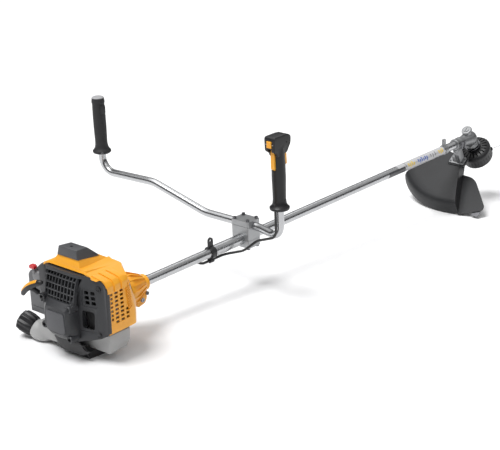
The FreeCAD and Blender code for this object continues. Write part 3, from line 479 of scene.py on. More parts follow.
def yellow_cover():
    """Shell over the cylinder: raised spine behind the cap, two steps, ribs over the shoulder."""
    section = [(-124, -27), (-124, 96), (-119, 106), (-104, 112), (-80, 120), (-60, 126),
               (64, 126), (82, 119), (92, 98), (92, 60), (92, -27)]
    low_plan = [(REAR_LIP, -125), (-168, -125), (-160, -122), (-104, -66), (-90, -44), (-90, 50),
                (-124, 93), (REAR_LIP, 93)]
    high_plan = [(REAR_LIP, -125), (-192, -125), (-186, -121), (-168, -84), (-154, -48),
                 (-146, 30), (-160, 93), (REAR_LIP, 93)]
    side = [(REAR_LIP, -28), (REAR_LIP, 122), (-258, 130), (-164, 128), (-138, 104), (-112, 72),
            (-92, 48), (-90, 40), (-90, -20), (-172, -26)]
    body = prism(section, "x", -270, 190)
    boolean(body, [loft([[(x, y, 10) for x, y in low_plan], [(x, y, 140) for x, y in high_plan]]),
                   prism(low_plan, "z", -60, 70.5)], "INTERSECT")
    boolean(body, [prism(side, "y", -140, 280)], "INTERSECT")
    spine = loft([[(-263, -50, 122), (-263, 56, 122), (-140, 44, 98), (-140, -52, 98)],
                  [(-260, -44, 131), (-260, 50, 131), (-156, 38, 120), (-156, -46, 120)],
                  [(-256, -35, 150), (-256, 34, 150), (-184, 32, 140), (-184, -32, 140)]])
    boolean(body, [spine], "UNION")
    step = loft([[(-262, -80, 112), (-262, -40, 112), (-150, -40, 92), (-150, -84, 92)],
                 [(-261, -64, 128.5), (-261, -40, 131), (-160, -40, 129), (-166, -74, 121)]])
    boolean(body, [step], "UNION")
    bevelled(body, 2.6, 3, 20)
    shoulder = [(-80, 118), (-84, 122), (-104, 115.5), (-119, 109.5), (-126.8, 98), (-126.8, 80),
                (-123.5, 76), (-120, 90), (-104, 105)]
    for k in range(3):
        finger = prism(round_outline(shoulder, 3, 3), "x", -255 + 23.5 * k, 17)
        for vert in finger.data.vertices:
            vert.co.x += (vert.co.y + 104) * -0.22
        bevelled(finger, 2.2, 3, 40)
        boolean(body, [finger], "UNION")
    inner = prism([(-121, -60), (-121, 95), (-116, 103), (-102, 108), (-80, 115), (-60, 121),
                   (62, 121), (79, 115), (88.6, 97), (88.6, -60)], "x", -280, 200)
    room_low = [(-290, -122), (-170, -122), (-162, -119), (-107, -64), (-93, -43), (-93, 49),
                (-126, 90), (-290, 90)]
    room_high = [(-290, -122), (-194, -122), (-189, -118), (-171, -82), (-157, -47), (-149, 29),
                 (-163, 90), (-290, 90)]
    boolean(inner, [loft([[(x, y, 10) for x, y in room_low], [(x, y, 140) for x, y in room_high]]),
                    prism(room_low, "z", -80, 90.5)], "INTERSECT")
    boolean(inner, [prism([(-290, -80), (-290, 118), (-258, 125), (-166, 124), (-141, 101),
                           (-115, 70), (-95, 46), (-93, 38), (-93, -80)], "y", -150, 300)],
            "INTERSECT")
    boolean(body, [inner])
    boolean(body, [block((REAR_LIP - 2, -90), (-82, 130), (-60, 50))])
    boolean(body, [block((-280, -252), (-140, 130), (-60, 112))])
    boolean(body, [block((-280, -140), (80, 130), (-60, 106))])
    boolean(body, [spun([(60, -10), (60, 40)], (-126, 0, 0), (1, 0, 0), 48)])
    boolean(body, [block((-252, -196), (-30, 30), (110, 149))])
    slots = []
    for column, (x, width) in enumerate(((-241, 7.5), (-227, 11), (-209.5, 11), (-192, 10))):
        for line in range(8):
            z = -5 + 10.8 * line + 0.8 * column
            if (column == 0 and line == 0) or (column == 3 and line > 2):
                continue
            slots.append(block((x, x + width), (-130, -112), (z, z + 6.6)))
    boolean(body, slots)
    band = []
    for k in range(11):
        z = 16 + 6.2 * k
        x = -183 - 0.10 * z
        band.append(prism([(x, z), (x + 11, z + 7), (x + 11, z + 9.9), (x, z + 2.9)], "y",
                          -127, 4))
    boolean(body, band, "UNION")
    return piece(body, "cover_yellow", "machine", MAT["yellow_plastic"],
                 ["engine_cover"], angle=30)


def face_depth(y):
    """How far back the dark panel stands at a given y."""
    if y > 60:
        return min(-276 + (y - 60) * 0.7, -262)
    return min(-276 + max(0, -40 - y) * 0.27, -256)


def dark_cover():
    """Dark rear moulding: the leaning side panel; the starter hood and the grille that go with it
    are built in rear_cover.
    """
    outline = [(-124.5, -27), (-126, 92), (-119, 104), (-104, 111), (-85, 118), (60, 118),
               (84, 116), (100, 103), (107, 84), (106, 40), (102, 5), (86, -24), (70, -52),
               (40, -64), (-19, -63), (-60, -52), (-100, -41)]
    outline = round_outline(outline, 5, 4)
    stops = (130, 80, 60, -40, -114, -140)
    slab = prism([(face_depth(y), y) for y in stops]
                 + [(face_depth(y) + 12, y) for y in reversed(stops)], "z", -90, 230)
    return boolean(prism(outline, "x", -300, 70), [slab], "INTERSECT")


def hood_rings():
    """Rings of the starter hood from its foot to the flat face behind the badge."""
    foot = [(-66, 119), (-55, 100), (-47, 75), (-42, 55), (-41, 25), (-43, 0), (-45, -20),
            (-43, -42), (-34, -56), (-18, -64), (14, -67), (44, -62), (64, -46), (76, -24),
            (80, 0), (78, 30), (74, 60), (74, 90), (76, 118), (40, 119), (0, 119), (-40, 119)]
    depth = [-259, -270, -280, -286, -290, -293, -294, -290, -284, -280, -278, -279, -280, -281,
             -281, -279, -275, -268, -259, -260, -261, -260]
    top = [(-34, 32), (-35, 31), (-36, 29), (-37, 25), (-37, 12), (-37, 0), (-36, -12),
           (-34, -24), (-30, -31), (-18, -33), (0, -34), (20, -33), (32, -30), (36, -20),
           (37, 0), (37, 15), (36, 26), (34, 31), (32, 34), (18, 35), (0, 35), (-20, 34)]
    middle = [(-43, 48, -293), (-43, 46, -294), (-43, 44, -295), (-43, 40, -297),
              (-41, 22, -302), (-42, 0, -304), (-43, -16, -304), (-40, -32, -303),
              (-33, -42, -301), (-18, -48, -300), (8, -50, -299), (30, -46, -299),
              (46, -36, -299), (54, -18, -299), (57, 0, -298), (56, 26, -296), (54, 40, -290),
              (53, 46, -287), (52, 49, -286), (30, 49, -291), (0, 49, -294), (-22, 49, -294)]
    rings = [[(-250, y, z) for y, z in foot]]
    rings.append([(x + 4, y, z) for (y, z), x in zip(foot, depth)])
    rings.append([(x, y, z) for y, z, x in middle])
    for t in (0.5, 0.9):
        ring = []
        for (y0, z0, x0), (y1, z1) in zip(middle, top):
            bulge = math.sin(math.pi * t) * 1.6
            ring.append((x0 + (-311 - x0) * t - bulge, y0 + (y1 - y0) * t, z0 + (z1 - z0) * t))
        rings.append(ring)
    rings.append([(-312, y, z) for y, z in top])
    return rings


def sunk(outline, depth):
    """Tool for a flat recess of one depth that follows the leaning panel."""
    slab = prism([(face_depth(y) + reach, y) for y, reach in
                  ((-36, -20), (-36, depth), (-40, depth), (-110, depth), (-110, -20))],
                 "z", -60, 200)
    return boolean(prism(outline, "x", -310, 70), [slab], "INTERSECT")


def rear_cover():
    panel = dark_cover()
    boolean(panel, [sunk(round_outline([(-40, 34), (-94, 32), (-92, -28), (-38, -26)], 9), 2)])
    bevelled(panel, 1.4, 2, 30)
    boolean(panel, [prism(round_outline([(-52, 28), (-87, 26), (-84, -22), (-50, -19)], 8), "x",
                          -300, 70)])
    boolean(panel, [sunk(round_outline([(-58, 87), (-98, 85), (-100, 39), (-55, 39)], 7), 1.5)])
    vents = []
    for row in range(3):
        for col in range(2):
            y = -62 - 17 * col - 0.8 * (2 - row)
            z = 45 + 13 * row
            vents.append(prism(round_outline([(y, z), (y - 12, z), (y - 12, z + 9.5),
                                              (y, z + 9.5)], 3, 3), "x", -300, 70))
    boolean(panel, vents)
    boolean(panel, [prism([(face_depth(-46) + 5, -46), (face_depth(-104) + 5, -104),
                           (-230, -104), (-230, -46)], "z", -34, 124)])
    foot = [(y * 0.93, z * 0.93 - 1) for _, y, z in hood_rings()[0]]
    boolean(panel, [prism(foot, "x", -300, 70)])
    hood = loft(hood_rings())
    bevelled(hood, 1.8, 2, 24)
    inside = loft([[(x + 3.2, y * 0.955, z * 0.955 + 0.4) for x, y, z in ring]
                   for ring in hood_rings()])
    for vert in inside.data.vertices:
        if vert.co.x > -254:
            vert.co.x = -240
    boolean(hood, [inside])
    opening = prism([(-50, 114), (69, 114), (65, 92), (56, 62), (50, 46), (-38, 46), (-41, 64)],
                    "x", -330, 76)
    boolean(hood, [opening])
    fins = []
    face = [(-258, 119), (-268, 114.5), (-277, 105), (-282.5, 92), (-287, 75), (-290.5, 58),
            (-293.5, 46), (-302, 39), (-307, 33)]
    for k in range(10):
        y = -47 + 12.0 * k
        back = max(0, y - 5) * 0.11
        inner = [(x + 9, z - 2) for x, z in reversed(face[1:])]
        fins.append(prism([(x + back, z) for x, z in face + inner], "y", y - 1.6, 3.2))
    for x, z, wide in ((-279, 99, 112), (-284.5, 82, 106), (-288.5, 66, 100), (-291, 51, 92)):
        fins.append(prism([(x, z - 1.4), (x + 9, z - 3.4), (x + 9, z - 0.4), (x, z + 1.4)], "y",
                          -46, wide))
    lattice = joined(fins)
    bosses = [spun([(9.5, -6), (9.5, 18), (8, 20), (5.2, 20), (5.2, 12), (0, 12)], place,
                   (-1, 0, 0), 28)
              for place in ((-286, -40, 36), (-286, -38, -44), (-274, 66, -34), (-278, 62, 42))]
    for boss in bosses:
        boolean(hood, [boss], "UNION")
    piece(panel, "cover_panel", "machine", MAT["dark_plastic"], ["starter_cover"])
    piece(hood, "starter_hood", "machine", MAT["dark_plastic"])
    piece(lattice, "starter_grille", "machine", MAT["dark_plastic"])
    # Painted shade: near-black sheets behind the grille, the window and the vents, standing in for
    # the shade inside the housing.
    back = prism([(-60, 20), (84, 20), (84, 114), (-60, 114)], "x", -262, 2)
    boolean(back, [prism(round_outline([(-50, -27), (-84, -27), (-84, 84), (-50, 84)], 4), "x",
                         -252, 2)], "UNION")
    piece(back, "inner_shade", "machine", MAT["painted_shade_inside"])
    for k, (y, z, x) in enumerate(((-103, 91, -259), (-97, -31, -260))):
        rim = spun([(7.5, -3), (7.5, 1.2), (6.6, 2), (5.4, 2), (5.0, 0), (3.6, 0), (3.2, 0.6),
                    (0, 0.6)],
                   (x, y, z), (-1, 0, 0), 32)
        piece(rim, "cover_screw_%d" % k, "machine", MAT["black_plastic"])
    badge = prism(round_outline([(-31, 24), (-34, -24), (-25, -30), (26, -30), (32, -24),
                                 (31, 24)], 7), "x", -314, 2.4)
    bevelled(badge, 0.9, 3)
    piece(badge, "badge", "machine", MAT["badge"], ["badge_plate"])


def cap_shell():
    cap = loft([[(-259, -38, 148), (-259, 37, 148), (-186, 36, 138), (-186, -36, 138)],
                [(-259, -36, 153), (-259, 35, 153), (-190, 34, 144), (-190, -34, 144)],
                [(-257, -33, 172), (-257, 31, 172), (-219, 28, 169), (-219, -30, 169)]])
    bevelled(cap, 2.2, 3, 20)
    boolean(cap, [spun([(4.2, -6), (4.2, 10)], (-240, 2, 171), (0, 0, 1), 24)])
    piece(cap, "cap_grey", "machine", MAT["cap_dark"], ["top_cap"])


def tank():
    block_ = loft([[(-238, -104, -90), (-238, 60, -90), (-176, 60, -90), (-176, -104, -86)],
                   [(-241, -110, -70), (-241, 66, -70), (-171, 66, -70), (-171, -110, -66)],
                   [(-241, -112, -34), (-241, 66, -40), (-170, 66, -40), (-170, -112, -34)]])
    axis = CAP_DIR
    at_ = Vector((-254, 180, -74))
    lobe = spun([(16, -12), (20, -20), (25, -28), (28, -38), (29, -50), (28, -64), (23, -76),
                 (14, -84), (0, -88)], at_, axis, 48)
    neck = loft([[(-262, 60, -96), (-262, 60, -48), (-200, 60, -48), (-200, 60, -92)],
                 [(-262, 128, -98), (-262, 128, -52), (-206, 128, -50), (-206, 128, -94)]])
    body = joined([block_, lobe, neck])
    mod = body.modifiers.new("skin", "REMESH")
    mod.mode = "VOXEL"
    mod.voxel_size = 2.6
    applied(body)
    mod = body.modifiers.new("soften", "SMOOTH")
    mod.factor = 0.5
    mod.iterations = 14
    applied(body)
    for vert in body.data.vertices:
        if vert.co.z < -98:
            vert.co.z = -98 - 9 * math.tanh((-98 - vert.co.z) / 9)
    piece(body, "tank", "machine", MAT["tank_plastic"], ["fuel_tank"], angle=80)


def lobed(section, lobes, matrix, name, steps=96):
    """Turned solid whose rim waves in and out: section holds (radius, along, depth)."""
    rings = []
    for radius, along, depth in section:
        ring = []
        for k in range(steps):
            r = radius + depth * math.cos(lobes * 2 * math.pi * k / steps)
            a = 2 * math.pi * k / steps
            ring.append(matrix @ Vector((r * math.cos(a), r * math.sin(a), along)))
        rings.append(ring)
    return loft(rings, name)


def frame_of(place, axis, side):
    """Matrix with its z along axis and its x near side."""
    z = Vector(axis).normalized()
    x = (Vector(side) - z * Vector(side).dot(z)).normalized()
    y = z.cross(x)
    return Matrix.Translation(place) @ Matrix((x, y, z)).transposed().to_4x4()


CAP_DIR = Vector((-0.22, 0.90, 0.37)).normalized()
PULL_DIR = Vector((-0.56, 0.46, 0.69)).normalized()


def fuel_cap():
    frame_ = frame_of((-254, 180, -74), CAP_DIR, (1, 0, 0))
    cap = lobed([(19, -26, 0), (23.5, -25, 0.3), (25.5, -20, 1.4), (26.6, -6, 2.0),
                 (26.6, 10, 2.0), (25.5, 16, 1.6),
                 (23, 18.4, 0.8), (18, 19, 0.2), (16.5, 17.6, 0), (5, 17.4, 0)], 9, frame_, "cap")
    piece(cap, "fuel_cap_grip", "tank_cap", MAT["black_plastic"], ["fuel_cap"])


def pull_grip():
    frame_ = frame_of((-290, 62, 40), PULL_DIR, (0, 0.847, -0.53))
    rings, top = [], []
    for k in range(17):
        t = -1 + k / 8
        x = 49 * t
        z = 45 - 9 * t * t
        wide = 9.2 * (1 - 0.30 * t * t) * (1 if abs(t) < 1 else 0.55)
        high = 8.2 * (1 - 0.25 * t * t) * (1 if abs(t) < 1 else 0.55)
        ring = []
        for n in range(20):
            a = 2 * math.pi * n / 20
            across = math.cos(a)
            y = wide * across * abs(across) ** -0.25 if abs(across) > 1e-3 else 0
            ring.append(frame_ @ Vector((x, y, z + high * math.sin(a))))
        rings.append(ring)
        if abs(t) < 0.80:
            w = wide * 0.72
            top.append([frame_ @ Vector((x, y, z + high * h)) for y, h in
                        ((-w, 0.55), (-w * 0.8, 1.03), (0, 1.14), (w * 0.8, 1.03), (w, 0.55),
                         (0, 0.3))])
    bar = loft(rings)
    smoothed(bar, 1)
    piece(bar, "pull_bar", "pull_handle", MAT["black_plastic"],
          ["starter_handle"], angle=60)
    insert = loft(top)
    smoothed(insert, 2)
    piece(insert, "pull_insert", "pull_handle", MAT["yellow_plastic"], angle=60)
    stem = spun([(0, 16), (5, 16), (6.5, 18), (6.2, 28), (7.4, 36), (9.5, 42), (4, 44)],
                frame_ @ Vector((0, 0, 0)), PULL_DIR, 28)
    piece(stem, "pull_stem", "pull_handle", MAT["black_plastic"], angle=50)
    eye = spun([(4, -6), (9.5, -6), (9.5, 1), (8, 4), (4.6, 5), (3.4, 3), (3.4, -6)],
               frame_ @ Vector((0, 0, 0)), PULL_DIR, 32)
    piece(eye, "rope_guide", "machine", MAT["black_plastic"])


def air_filter():
    outline = round_outline([(86, -40), (168, -40), (168, 61), (160, 71), (138, 81), (118, 99),
                             (112, 103), (86, 103)], 4, 3)
    body = prism(outline, "x", -248, 94)
    bevelled(body, 3.5, 4, 40)
    boolean(body, [prism([(90, -24), (169, -24), (169, -22.4), (90, -22.4)], "x", -249, 2.2)])
    piece(body, "filter_box", "machine", MAT["grey_plastic"], ["filter_cover"])
    disc = spun([(0, 5), (10, 5), (14.5, 4), (16.5, 1.5), (16.5, -2), (13, -3)], (-250, 129, 63),
                (-1, 0, 0), 48)
    piece(disc, "choke_disc", "choke", MAT["choke_grey"], ["choke_lever"])
    arm = prism(round_outline([(131, 72), (141, 72), (141, 86), (131, 86)], 2), "x", -257, 4)
    bevelled(arm, 1.0, 2)
    piece(arm, "choke_arm", "choke", MAT["choke_grey"])
    knob = prism(round_outline([(127, 85), (146, 84), (147, 91), (143, 95), (131, 96), (127, 92)],
                               3), "x", -261, 12)
    bevelled(knob, 1.8, 3)
    piece(knob, "choke_knob", "choke", MAT["red_plastic"])


def clutch_bell():
    section = [(46, -92), (47, -84), (45, -76), (25, -26), (21.5, -21), (21.5, -11), (20, -9),
               (13.2, -9), (13.2, -40), (30, -92)]
    cone = spun(section, (0, 0, 0), (1, 0, 0), 72)
    ribs = []
    for k in range(18):
        a = 2 * math.pi * k / 18
        rib = prism([(-88, 40), (-88, 48.5), (-70, 48), (-26, 27), (-22, 22), (-24, 20)], "y",
                    -1.5, 3)
        rib.data.transform(Matrix.Rotation(a, 4, "X"))
        ribs.append(rib)
    boolean(cone, ribs, "UNION")
    lug = prism(round_outline([(-52, -20), (-52, -50), (-46, -57), (-22, -52), (-14, -40),
                               (-14, -18)], 5), "y", -12, 16)
    bevelled(lug, 2, 3)
    boolean(cone, [lug], "UNION")
    boolean(cone, [spun([(13.1, -60), (13.1, 20)], (0, 0, 0), (1, 0, 0), 48)])
    piece(cone, "clutch_cone", "machine", MAT["yellow_plastic"],
          ["clutch_housing"])
    head = spun([(6, -3), (6, 2.4), (5.2, 3.2), (3.4, 3.2), (3.2, 1.2), (0, 1.2)], (-32, -13, -40),
                (0, -1, 0), 28)
    piece(head, "clutch_screw", "machine", MAT["steel"])


def stand_plate():
    outline = [(59, -72), (41, -97), (30, -101), (-38, -99), (-62, -86), (-65, -82), (-48, -84),
               (-42, -76), (-34, -66), (0, -67), (40, -70)]
    plate = prism(round_outline(outline, 5, 4), "x", -269, 5)
    bevelled(plate, 1.6, 3)
    piece(plate, "stand_plate", "machine", MAT["stand_black"])


# ------------------------------------------------------------------ grips and levers
GRIP = (356, -148, 328)
LEFT = (372, 550, 313)


def ring_at(x, y, z, rx, ry, steps=48):
    turns = [2 * math.pi * k / steps for k in range(steps)]
    return [(x + rx * math.cos(a), y + ry * math.sin(a), z) for a in turns]


def right_grip():
    """Trigger handle: flanged foot, swelling body and an angular head with three slots."""
    gx, gy, top = GRIP
    rings = [ring_at(gx, gy, z, rx, ry) for z, rx, ry in
             ((121.5, 26, 26), (124, 27, 27), (128, 27, 27), (132, 22.5, 22.5), (138, 19.5, 19),
              (150, 18, 17.5), (185, 19, 17.8), (215, 20, 18.2), (250, 19.5, 17.6),
              (275, 18.5, 17), (292, 18, 17))]
    body = loft(rings)
    side = [(-34, -6), (-30, -1), (10, -1), (26, -3), (33, -10), (32, -26), (20, -52), (-19, -58),
            (-21, -48), (-34, -40)]
    head = prism(round_outline([(gx + a, top + b) for a, b in side], 5, 4), "y", gy - 18, 36)
    for vert in head.data.vertices:
        slim = 1 - 0.22 * max(0, (top - 30 - vert.co.z)) / 28
        vert.co.y = gy + (vert.co.y - gy) * slim
    bevelled(head, 5.5, 5, 40)
    boolean(body, [head], "UNION")
    cuts = [block((gx - 45, gx - 14), (gy - 6.5, gy + 6.5), (top - 96, top - 34)),
            block((gx + 12, gx + 45), (gy - 6.5, gy + 6.5), (top - 92, top - 42)),
            block((gx - 45, gx - 29), (gy - 8.5, gy + 8.5), (top - 32, top - 10.5)),
            spun([(11.05, 118), (11.05, 192)], (gx, gy, 0), (0, 0, 1), 40),
            spun([(3.2, 0), (3.2, 3)], (gx + 14, gy - 19, top - 22), (0, 1, 0), 24),
            spun([(3.2, 0), (3.2, 3)], (gx + 2, gy - 19, 150), (0, 1, 0), 24)]
    for k in range(4):
        cuts.append(block((gx + 17, gx + 26), (gy - 7, gy + 7), (152 + 9 * k, 155.5 + 9 * k)))
    boolean(body, cuts)
    seam = block((gx - 60, gx + 60), (gy - 0.25, gy + 0.25), (137, top - 97))
    shell = spun([(60, 137), (60, top - 97)], (gx, gy, 0), (0, 0, 1), 40)
    boolean(shell, [loft([ring_at(gx, gy, z, rx - 0.5, ry - 0.5) for z, rx, ry in
                          ((136, 19.5, 19), (150, 18, 17.5), (185, 19, 17.8), (215, 20, 18.2),
                           (232, 19.8, 18))])])
    boolean(seam, [shell], "INTERSECT")
    boolean(body, [seam])
    piece(body, "handle_shell", "machine", MAT["black_plastic"], ["right_grip"])


def left_grip():
    """Soft sleeve grip with a flared foot, a thumb pad, fine rings and a domed cap."""
    gx, gy, top = LEFT

    def lean(z):
        return gy - 3 * (301 - z) / 215

    section = [(143.4, 25), (146, 27), (150, 27), (153, 24), (160, 20), (168, 18.4), (176, 18.0)]
    for k in range(22):
        z = 180 + 5.0 * k
        swell = 0.8 * math.sin(math.pi * k / 22)
        section += [(z, 18.0 + swell), (z + 0.7, 17.4 + swell), (z + 1.5, 17.4 + swell),
                    (z + 2.2, 18.0 + swell)]
    section += [(293, 18.0), (294, 19.2), (300, 19.2), (303, 18.4), (308, 18.2)]
    rings = [ring_at(gx, lean(z), z, r, r, 56) for z, r in section]
    body = loft(rings)
    boolean(body, [loft([ring_at(gx, lean(z), z, 11.05, 11.05, 32) for z in (140, 220, 302)])])
    piece(body, "sleeve_grip", "machine", MAT["grip_rubber"], ["left_grip"],
          angle=50)
    dome = spun([(0, 313), (7, 312.6), (13, 311.6), (17, 309.8), (18, 308.2), (17, 307)],
                (gx, lean(308), 0), (0, 0, 1), 48)
    piece(dome, "grip_dome", "machine", MAT["grip_cap_grey"], ["left_grip_cap"])
    pad = prism(round_outline([(gx - 9, 262), (gx + 9, 262), (gx + 9, 288), (gx - 9, 288)], 5),
                "y", gy - 20, 4)
    bevelled(pad, 1.0, 3, 40)
    piece(pad, "thumb_pad", "machine", MAT["grip_rubber"])
    screw = spun([(3.6, 0), (3.6, 1.6), (2.8, 2.2), (1.4, 2.2), (1.4, 1), (0, 1)],
                 (gx - 17, gy - 21, 147), (-0.6, -0.8, 0), 24)
    piece(screw, "foot_screw", "machine", MAT["screw_steel"])


# ------------------------------------------------------------------ cutting head
TUBE_END = 1416
LINE_TURNS = (-50, 130)
LINE_LEVEL = -80
LINE_STOPS = (48, 124, 200)
FAN = [(-58, 12), (-40, 76), (-200, 208), (-340, 160), (-340, 12 - 282 * 0.423)]


def guard_shell():
    """Thin moulded guard: rounded shoulder and skirt, side rib and the low wing."""
    outer = [(0.5, -30), (200, -30), (222, -31.5), (234, -36), (241, -44), (246, -58), (250, -74)]
    inner = [(0.5, -33), (199, -33), (220, -34.5), (231, -38.6), (238, -46), (243, -59),
             (247, -76)]
    shell = spun([(0.5, -74)] + outer[::-1], (0, 0, 0), (0, 0, 1), 180)
    hollow = spun([(0.5, -80)] + [(247, -80)] + inner[::-1], (0, 0, 0), (0, 0, 1), 180)
    boolean(shell, [hollow])
    fan = prism(round_outline(FAN, [3, 16, 60, 60, 3], 8), "z", -90, 70)
    boolean(shell, [fan], "INTERSECT")
    bowl = spun([(0.5, -74), (250, -74), (246, -58), (241, -44), (234, -36), (222, -31.5),
                 (0.5, -31.5)], (0, 0, 0), (0, 0, 1), 180)
    rib = prism([(-62, 10.3), (-62, 14.2), (-262, -70.4), (-262, -74.3)], "z", -74, 44)
    boolean(rib, [bowl], "INTERSECT")
    wing = prism(round_outline([(-97, -4.4), (-99, -40), (-112, -62), (-196, -139), (-214, -137),
                                (-247, -66), (-240, -64.9)], [2, 12, 12, 14, 14, 8, 2], 5),
                 "z", -74, 3)
    boolean(shell, [rib], "UNION")
    boolean(shell, [wing], "UNION")
    pad = prism(round_outline([(-95, -20), (-57, -20), (-55, 44), (-95, 44)], 8), "z", -33, 6)
    bevelled(pad, 1.2, 3, 40)
    boolean(shell, [pad], "UNION")
    boolean(shell, [spun([(2.9, -40), (2.9, -20)], (x, y, 0), (0, 0, 1), 20)
                    for x, y in ((-84, -8), (-84, 34), (-66, 30))])
    bevelled(shell, 0.9, 2, 35)
    piece(shell, "guard_shell", "machine", MAT["guard_plastic"], ["guard"],
          matrix=HEAD_AT, angle=38)
    foot = prism(round_outline([(-91, -16), (-61, -16), (-59, 39), (-91, 39)], 6), "z", -27, 5)
    bevelled(foot, 1.2, 3, 40)
    post = prism(round_outline([(-88, -24), (-64, -24), (-58, -2), (-55, 20), (-70, 27),
                                (-82, 14)], 4), "y", -9, 18)
    bevelled(post, 2.2, 3, 30)
    web = prism([(-86, -24), (-66, -24), (-70, -4), (-80, -4)], "y", -9, 34)
    bevelled(web, 1.5, 2, 30)
    boolean(foot, [post], "UNION")
    boolean(foot, [web], "UNION")
    piece(foot, "guard_mount", "machine", MAT["cast_alloy"], ["guard_bracket"],
          matrix=HEAD_AT)


def gear_case():
    """Cast elbow: clamp collar with ears, swelling body, lower flange and the grease plug."""
    x = TUBE_END
    tube_part = spun([(17, x - 30), (18.5, x - 28), (18.5, x - 20), (17.4, x - 18), (17.4, x - 10),
                      (18.5, x - 8), (18.5, x + 4), (16.5, x + 8), (17, x + 16), (20, x + 32),
                      (23, x + 50), (10, x + 58)], (0, 0, 0), (1, 0, 0), 56)
    ball = spun([(0.5, -25), (12, -22), (19, -16), (23.5, -8), (25, 0), (23.5, 8), (19, 16),
                 (12, 22), (0.5, 25)], (0, 0, 0), (0, 0, 1), 56)
    ball.data.transform(Matrix.Translation((1474, 0, 0)))
    low = spun([(22, -30), (23, -28), (23, -22), (20.5, -20), (20.5, -12), (22, -8), (20, 6),
                (15, 18), (14, 30), (12, 32), (0.5, 32)], (0, 0, 0), (0, 0, 1), 56)
    low.data.transform(MACHINE.inverted() @ HEAD_AT)
    ear = round_outline([(x - 26, -12), (x - 26, -29), (x + 6, -29), (x + 6, -12)], 5)
    ears = [prism(ear, "y", y, 6.4) for y in (-7.6, 1.2)]
    body = joined([tube_part, ball, low] + ears)
    mod = body.modifiers.new("skin", "REMESH")
    mod.mode = "VOXEL"
    mod.voxel_size = 1.1
    applied(body)
    mod = body.modifiers.new("soften", "SMOOTH")
    mod.factor = 0.5
    mod.iterations = 5
    applied(body)
    boolean(body, [spun([(13.05, x - 60), (13.05, x + 6)], (0, 0, 0), (1, 0, 0), 48)])
    piece(body, "case_cast", "machine", MAT["cast_alloy"], ["gear_case"], angle=60)
    plug = spun([(14, 30), (17, 32), (17.4, 36), (15.5, 38.6), (9, 39), (9, 41), (0.5, 41)],
                (4, 0, 0), (0, 0, 1), 48)
    boolean(plug, [block((-6, 14), (-1.2, 1.2), (38.5, 44))])
    piece(plug, "case_plug_cap", "machine", MAT["cast_alloy"], ["case_plug"],
          matrix=HEAD_AT)


def line_head():
    """Ribbed line head with slots around its crown and two line eyelets."""
    section = [(12, -44), (26, -44.6), (40, -47), (48, -51), (51.5, -56), (51.5, -64),
               (50, -67), (50, -90), (48, -96), (43, -100), (36, -101), (35, -97), (35, -92),
               (46, -90), (46, -60), (40, -52), (12, -50)]
    body = spun(section + section[:1], (0, 0, 0), (0, 0, 1), 120)
    tools = []
    for k in range(30):
        tool = block((49.6, 56), (-1.6, 1.6), (-94, -69))
        tool.data.transform(Matrix.Rotation(2 * math.pi * k / 30, 4, "Z"))
        tools.append(tool)
    for k in range(20):
        slot = prism(round_outline([(28, -1.4), (43, -2.2), (43, 2.2), (28, 1.4)], 1, 3), "z",
                     -58, 30)
        slot.data.transform(Matrix.Rotation(2 * math.pi * (k + 0.5) / 20, 4, "Z"))
        tools.append(slot)
    boolean(body, tools)
    for turn in LINE_TURNS:
        way = Vector((math.cos(math.radians(turn)), math.sin(math.radians(turn)), 0))
        eye = spun([(6.5, 44), (6.5, 52), (5.4, 53.4), (1.6, 53.4), (1.4, 44)], (0, 0, LINE_LEVEL),
                   way, 24)
        boolean(body, [eye], "UNION")
    piece(body, "line_hub", "head", MAT["black_plastic"], ["trimmer_head"],
          matrix=HEAD_AT)


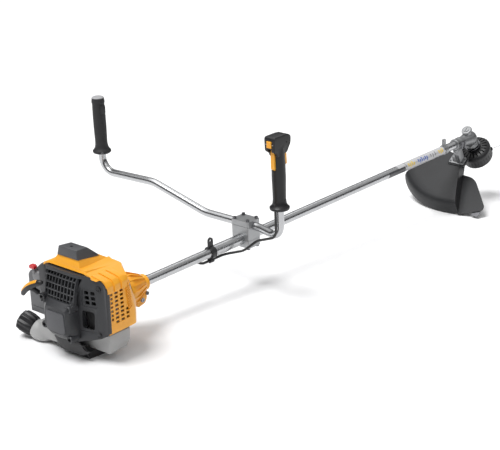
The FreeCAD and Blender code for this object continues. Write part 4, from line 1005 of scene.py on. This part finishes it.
def cutting_lines():
    """The two free lines, as cords that leave the head through its eyelets."""
    for name, turn in zip(("line_a", "line_b"), LINE_TURNS):
        way = Vector((math.cos(math.radians(turn)), math.sin(math.radians(turn)), 0))
        points = [HEAD_AT @ (way * r + Vector((0, 0, LINE_LEVEL))) for r in LINE_STOPS]
        curve = bpy.data.curves.new(name + "_cord", "CURVE")
        curve.dimensions = "3D"
        curve.bevel_depth = 0.0012
        curve.bevel_resolution = 4
        curve.resolution_u = 8
        curve.use_fill_caps = True
        spline = curve.splines.new("NURBS")
        spline.points.add(len(points) - 1)
        for point, place in zip(spline.points, points):
            point.co = (*place, 1)
        spline.order_u = 3
        spline.use_endpoint_u = True
        cord = bpy.data.objects.new(name + "_cord", curve)
        bpy.context.scene.collection.objects.link(cord)
        curve.materials.append(MAT["line_nylon"])
        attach(cord, "head")
        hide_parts(name)


# ------------------------------------------------------------------ labels and small parts
def arc_label(name, x0, x1, middle, spread, radius, mat):
    """Thin printed patch wrapped round the tube between two angles."""
    steps = max(6, int(spread / 4))
    rings = []
    for x in (x0, x1):
        ring = []
        for r, way in ((radius, 1), (radius - 0.3, -1)):
            for k in range(steps + 1):
                a = math.radians(middle + way * spread * (k / steps - 0.5))
                ring.append((x, r * math.cos(a), r * math.sin(a)))
        rings.append(ring)
    patch = loft(rings)
    piece(patch, name, "machine", MAT[mat])


def labels():
    count = 0
    for start, steps, pitch, wide, mat in ((1122, 4, 9.5, 5.0, "mark_yellow"),
                                           (1174, 6, 9.0, 4.6, "mark_blue"),
                                           (1240, 3, 12.0, 2.2, "mark_dark"),
                                           (1284, 3, 9.0, 4.6, "mark_yellow")):
        for k in range(steps):
            x = start + k * pitch
            arc_label("label_mark_%d" % count, x, x + wide, 146 + 14 * (k % 2), 44 + 10 * (k % 3),
                      13.42, mat)
            count += 1
    arc_label("label_plate", 1024, 1106, 196, 100, 13.45, "mark_dark")


def eased(names, width, segments=2):
    """Round the edges of solids kept from the frame."""
    for name in names:
        obj = NODES[name]
        mod = obj.modifiers.new("ease", "BEVEL")
        mod.width = width
        mod.segments = segments
        mod.limit_method = "ANGLE"
        mod.angle_limit = math.radians(35)
        mod.use_clamp_overlap = True


yellow_cover()
rear_cover()
cap_shell()
tank()
fuel_cap()
pull_grip()
air_filter()
clutch_bell()
stand_plate()
right_grip()
left_grip()
guard_shell()
gear_case()
line_head()
cutting_lines()
labels()
eased(("clamp_saddle", "clamp_base", "clamp_cap"), 0.0014, 3)
eased(("throttle_trigger", "lockout_lever", "stop_switch"), 0.0012, 3)
eased(("carrying_ring", "tube_clip", "bump_knob", "case_screws", "clamp_bolts", "stand"), 0.0005)


camera()
studio()
